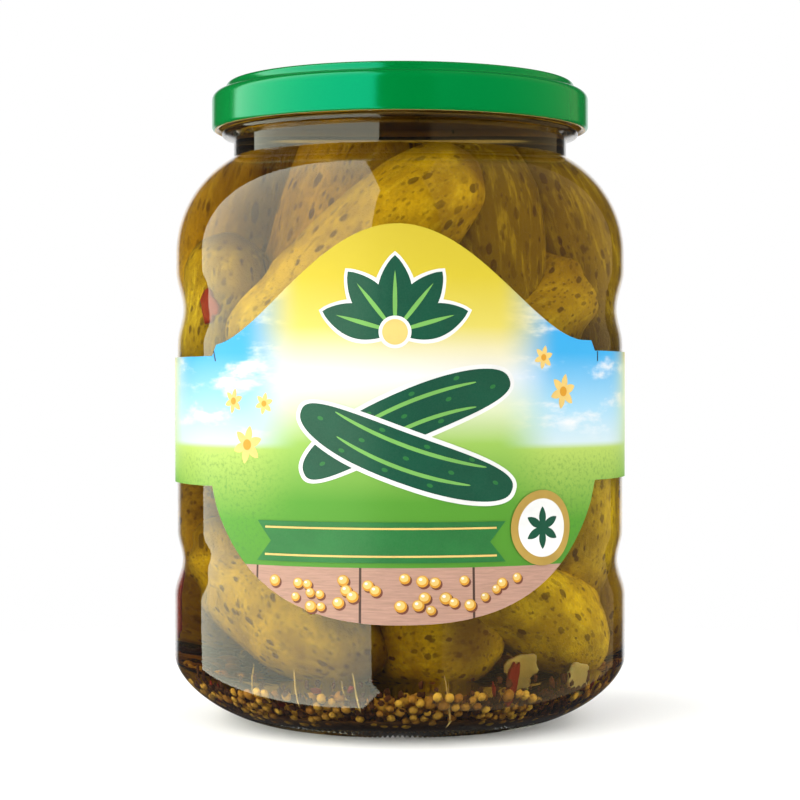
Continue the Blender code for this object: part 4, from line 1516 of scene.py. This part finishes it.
def cut_piece(name, place):
    """A flat cut piece, bent along the glass, with rounded edges and an uneven outline."""
    azimuth, reach, height, wide, tall, thick, turn = place
    nothing_selected()
    bpy.ops.mesh.primitive_cube_add(size=2.0)
    bpy.ops.object.mode_set(mode="EDIT")
    bpy.ops.mesh.subdivide(number_cuts=17)
    bpy.ops.object.mode_set(mode="OBJECT")
    piece = named(name)
    cube = points_of(piece)
    u, v, w = cube[:, 0], cube[:, 2], cube[:, 1]
    edge = np.maximum(abs(u), abs(v)) ** 8
    ragged = np.array([noise.noise(Vector((x * 1.1 + azimuth, z * 1.1, height))) for x, z in zip(u, v)])
    ragged += 0.25 * np.array([noise.noise(Vector((x * 4 + azimuth, z * 4, height))) for x, z in zip(u, v)])
    grow = (1 - 0.2 * u * u * v * v) * (1 + 0.3 * ragged)
    x, y = u * wide / 2 * grow, v * tall / 2 * grow
    spin, angle = math.radians(turn), math.radians(azimuth)
    along = x * math.cos(spin) - y * math.sin(spin)
    up = x * math.sin(spin) + y * math.cos(spin)
    bend = angle + along / reach
    out = reach - w * thick / 2 * (1 - 0.25 * np.maximum(u * u, v * v)) * (1 - 0.5 * edge)
    move_points(piece, np.stack([out * np.sin(bend), -out * np.cos(bend), height + up], axis=1) * MM)
    write_attribute(piece, "rim", np.clip(edge, 0, 1))
    select_only(piece)
    bpy.ops.object.mode_set(mode="EDIT")
    bpy.ops.mesh.select_all(action="SELECT")
    bpy.ops.mesh.normals_make_consistent(inside=False)
    bpy.ops.object.mode_set(mode="OBJECT")
    return piece


class GHERKINJAR_OT_cut_pieces(bpy.types.Operator):
    """Models the pieces of red pepper and onion that lie against the glass"""

    bl_idname = "gherkin_jar.cut_pieces"
    bl_label = "Pepper and Onion"

    def execute(self, context):
        look = settings().spice
        red = slice_finish("red_pepper", look.pepper, toned(look.pepper, 0.6), 0.25)
        pale = slice_finish("onion", look.onion, srgb(198, 180, 120), 0.4)
        for number, place in enumerate(PEPPER_PIECES, 1):
            piece = cut_piece(f"pepper_slice_{number}", place)
            finish_piece(piece, [red], 60, [f"pepper_piece_{number}"])
        for number, place in enumerate(ONION_PIECES, 1):
            piece = cut_piece(f"onion_slice_{number}", place)
            finish_piece(piece, [pale], 60, [f"onion_piece_{number}"])
        return {"FINISHED"}


class GHERKINJAR_OT_stage(bpy.types.Operator):
    """Sets up the pale floor, the studio light and the camera"""

    bl_idname = "gherkin_jar.stage"
    bl_label = "Stage"

    def execute(self, context):
        look = settings().studio
        self.floor(look)
        self.panel("left_panel", look.left_light, look.left_shine, -PANEL_DISTANCE, *LEFT_PANEL)
        self.panel("right_panel", look.right_light, look.right_shine, PANEL_DISTANCE, *RIGHT_PANEL)
        self.world(look)
        eye = bpy.data.cameras.new("camera")
        eye.lens = look.lens
        eye.sensor_width = 36.0
        eye.shift_y = -0.015
        camera = bpy.data.objects.new("camera", eye)
        camera.location = (0.0, -look.distance, look.eye_height)
        camera.rotation_euler = (math.pi / 2, 0, 0)
        context.scene.collection.objects.link(camera)
        context.scene.camera = camera
        context.scene.view_settings.view_transform = "Standard"
        return {"FINISHED"}

    def floor(self, look):
        """A pale floor that fades into the white behind it, that reflections see through, and that is
        darkened where it is seen through the glass, as painted shadow under the jar.
        """
        nothing_selected()
        bpy.ops.mesh.primitive_plane_add(size=2 * FLOOR_END, location=(0, 0, 0))
        floor = named("floor")
        finish, tree, shader = material("pale_floor", look.floor, 0.7)
        place = own_place(tree)
        patches, grain = mottle(tree, place, 3.0, 400.0)
        shade = mixed(tree, patches, look.floor, toned(look.floor, 0.985))
        path = node(tree, "ShaderNodeLightPath")
        straight = maths(tree, "LESS_THAN", path.outputs["Diffuse Depth"], 0.5)
        through = times(tree, path.outputs["Is Transmission Ray"], straight)
        # Seen straight through the glass, the floor is darkened to a quarter: painted shadow under the jar
        painted_shadow = mixed(tree, times(tree, through, 0.75), shade, (0, 0, 0))
        tree.links.new(painted_shadow, shader.inputs["Base Color"])
        reach = node(tree, "ShaderNodeVectorMath", {0: place}, operation="LENGTH").outputs["Value"]
        faded = step_up(tree, reach, FLOOR_END * 0.045, FLOOR_END * 0.18)
        gone = maths(tree, "MAXIMUM", faded, path.outputs["Is Glossy Ray"])
        clear = node(tree, "ShaderNodeBsdfTransparent")
        both = node(tree, "ShaderNodeMixShader", {0: gone, 1: shader.outputs[0], 2: clear.outputs[0]})
        tree.links.new(both.outputs[0], tree.nodes["Material Output"].inputs["Surface"])
        floor.data.materials.append(finish)

    def panel(self, name, light, shine, side, front, back):
        """A tall panel beside the jar, from front to back, made of two lamps in one place.

        One shows in reflections. The other lights all that has a colour of its own, and is only
        sampled directly, so that none of it is lost at the glass.
        """
        for part, brightness in (("shine", shine), ("glow", light)):
            lamp = bpy.data.lights.new(f"{name}_{part}", "AREA")
            lamp.shape = "RECTANGLE"
            lamp.size, lamp.size_y = back - front, PANEL_HEIGHT
            lamp.energy = brightness * math.pi * lamp.size * lamp.size_y
            if part == "shine":
                lamp.color = (1.0, 0.76, 0.4) if side > 0 else (0.98, 1.0, 0.8)
            lamp.cycles.use_multiple_importance_sampling = part == "shine"
            made = bpy.data.objects.new(f"{name}_{part}", lamp)
            made.location = (side, (front + back) / 2, 0.0)
            made.rotation_euler = (math.pi / 2, 0, math.copysign(math.pi / 2, side))
            made.visible_camera = False
            made.visible_transmission = False
            made.visible_glossy = part == "shine"
            made.visible_diffuse = part == "glow"
            bpy.context.scene.collection.objects.link(made)

    def world(self, look):
        """White to the camera and behind the jar, dark in reflections, and a soft fill for the rest."""
        world = bpy.data.worlds.new("studio")
        world.use_nodes = True
        tree = world.node_tree
        path = node(tree, "ShaderNodeLightPath")
        looking = node(tree, "ShaderNodeTexCoord").outputs["Generated"]
        way = node(tree, "ShaderNodeSeparateXYZ", {0: looking})
        backdrop = step_up(tree, way.outputs["Y"], *BACKDROP_EDGE)
        backdrop = times(tree, backdrop, step_up(tree, way.outputs["Z"], *BACKDROP_FOOT))
        dim = node(tree, "ShaderNodeMix", {0: backdrop, 2: 0.04, 3: 1.0}).outputs[0]
        clear = node(tree, "ShaderNodeMix", {0: backdrop, 2: 0.9, 3: 1.0}).outputs[0]
        strength = look.fill_light
        for ray, bright in (("Is Transmission Ray", clear), ("Is Glossy Ray", dim), ("Is Camera Ray", 1.0)):
            made = node(tree, "ShaderNodeMix", {0: path.outputs[ray], 2: strength, 3: bright})
            strength = made.outputs[0]
        background = tree.nodes["Background"]
        background.inputs["Color"].default_value = (1, 1, 1, 1)
        tree.links.new(strength, background.inputs["Strength"])
        bpy.context.scene.world = world


class GHERKINJAR_PT_sidebar(bpy.types.Panel):
    """Lists the pieces of the jar and what can be changed on each"""

    bl_idname = "GHERKINJAR_PT_sidebar"
    bl_label = "Gherkin Jar"
    bl_space_type = "VIEW_3D"
    bl_region_type = "UI"
    bl_category = "Gherkin Jar"

    def draw(self, context):
        layout = self.layout
        for operator, group in STEPS:
            box = layout.box()
            box.operator(operator.bl_idname)
            look = getattr(context.scene.gherkin_jar, group)
            for key in look.__annotations__:
                box.prop(look, key)


STEPS = (
    (GHERKINJAR_OT_stage, "studio"),
    (GHERKINJAR_OT_glass, "glass"),
    (GHERKINJAR_OT_brine, "brine"),
    (GHERKINJAR_OT_gherkins, "gherkins"),
    (GHERKINJAR_OT_seeds, "spice"),
    (GHERKINJAR_OT_cut_pieces, "spice"),
    (GHERKINJAR_OT_lid, "lid"),
    (GHERKINJAR_OT_label, "label"),
    (GHERKINJAR_OT_print, "label"),
)
GROUPS = (
    GlassSettings,
    LidSettings,
    LabelSettings,
    BrineSettings,
    GherkinSettings,
    SpiceSettings,
    StudioSettings,
    JarSettings,
)
CLASSES = (*GROUPS, *(operator for operator, _ in STEPS), GHERKINJAR_PT_sidebar)


def register():
    for made in CLASSES:
        bpy.utils.register_class(made)
    bpy.types.Scene.gherkin_jar = PointerProperty(type=JarSettings)


def unregister():
    del bpy.types.Scene.gherkin_jar
    for made in reversed(CLASSES):
        bpy.utils.unregister_class(made)


def main():
    register()
    for operator, _ in STEPS:
        family, name = operator.bl_idname.split(".")
        getattr(getattr(bpy.ops, family), name)()


if __name__ == "__main__":
    main()
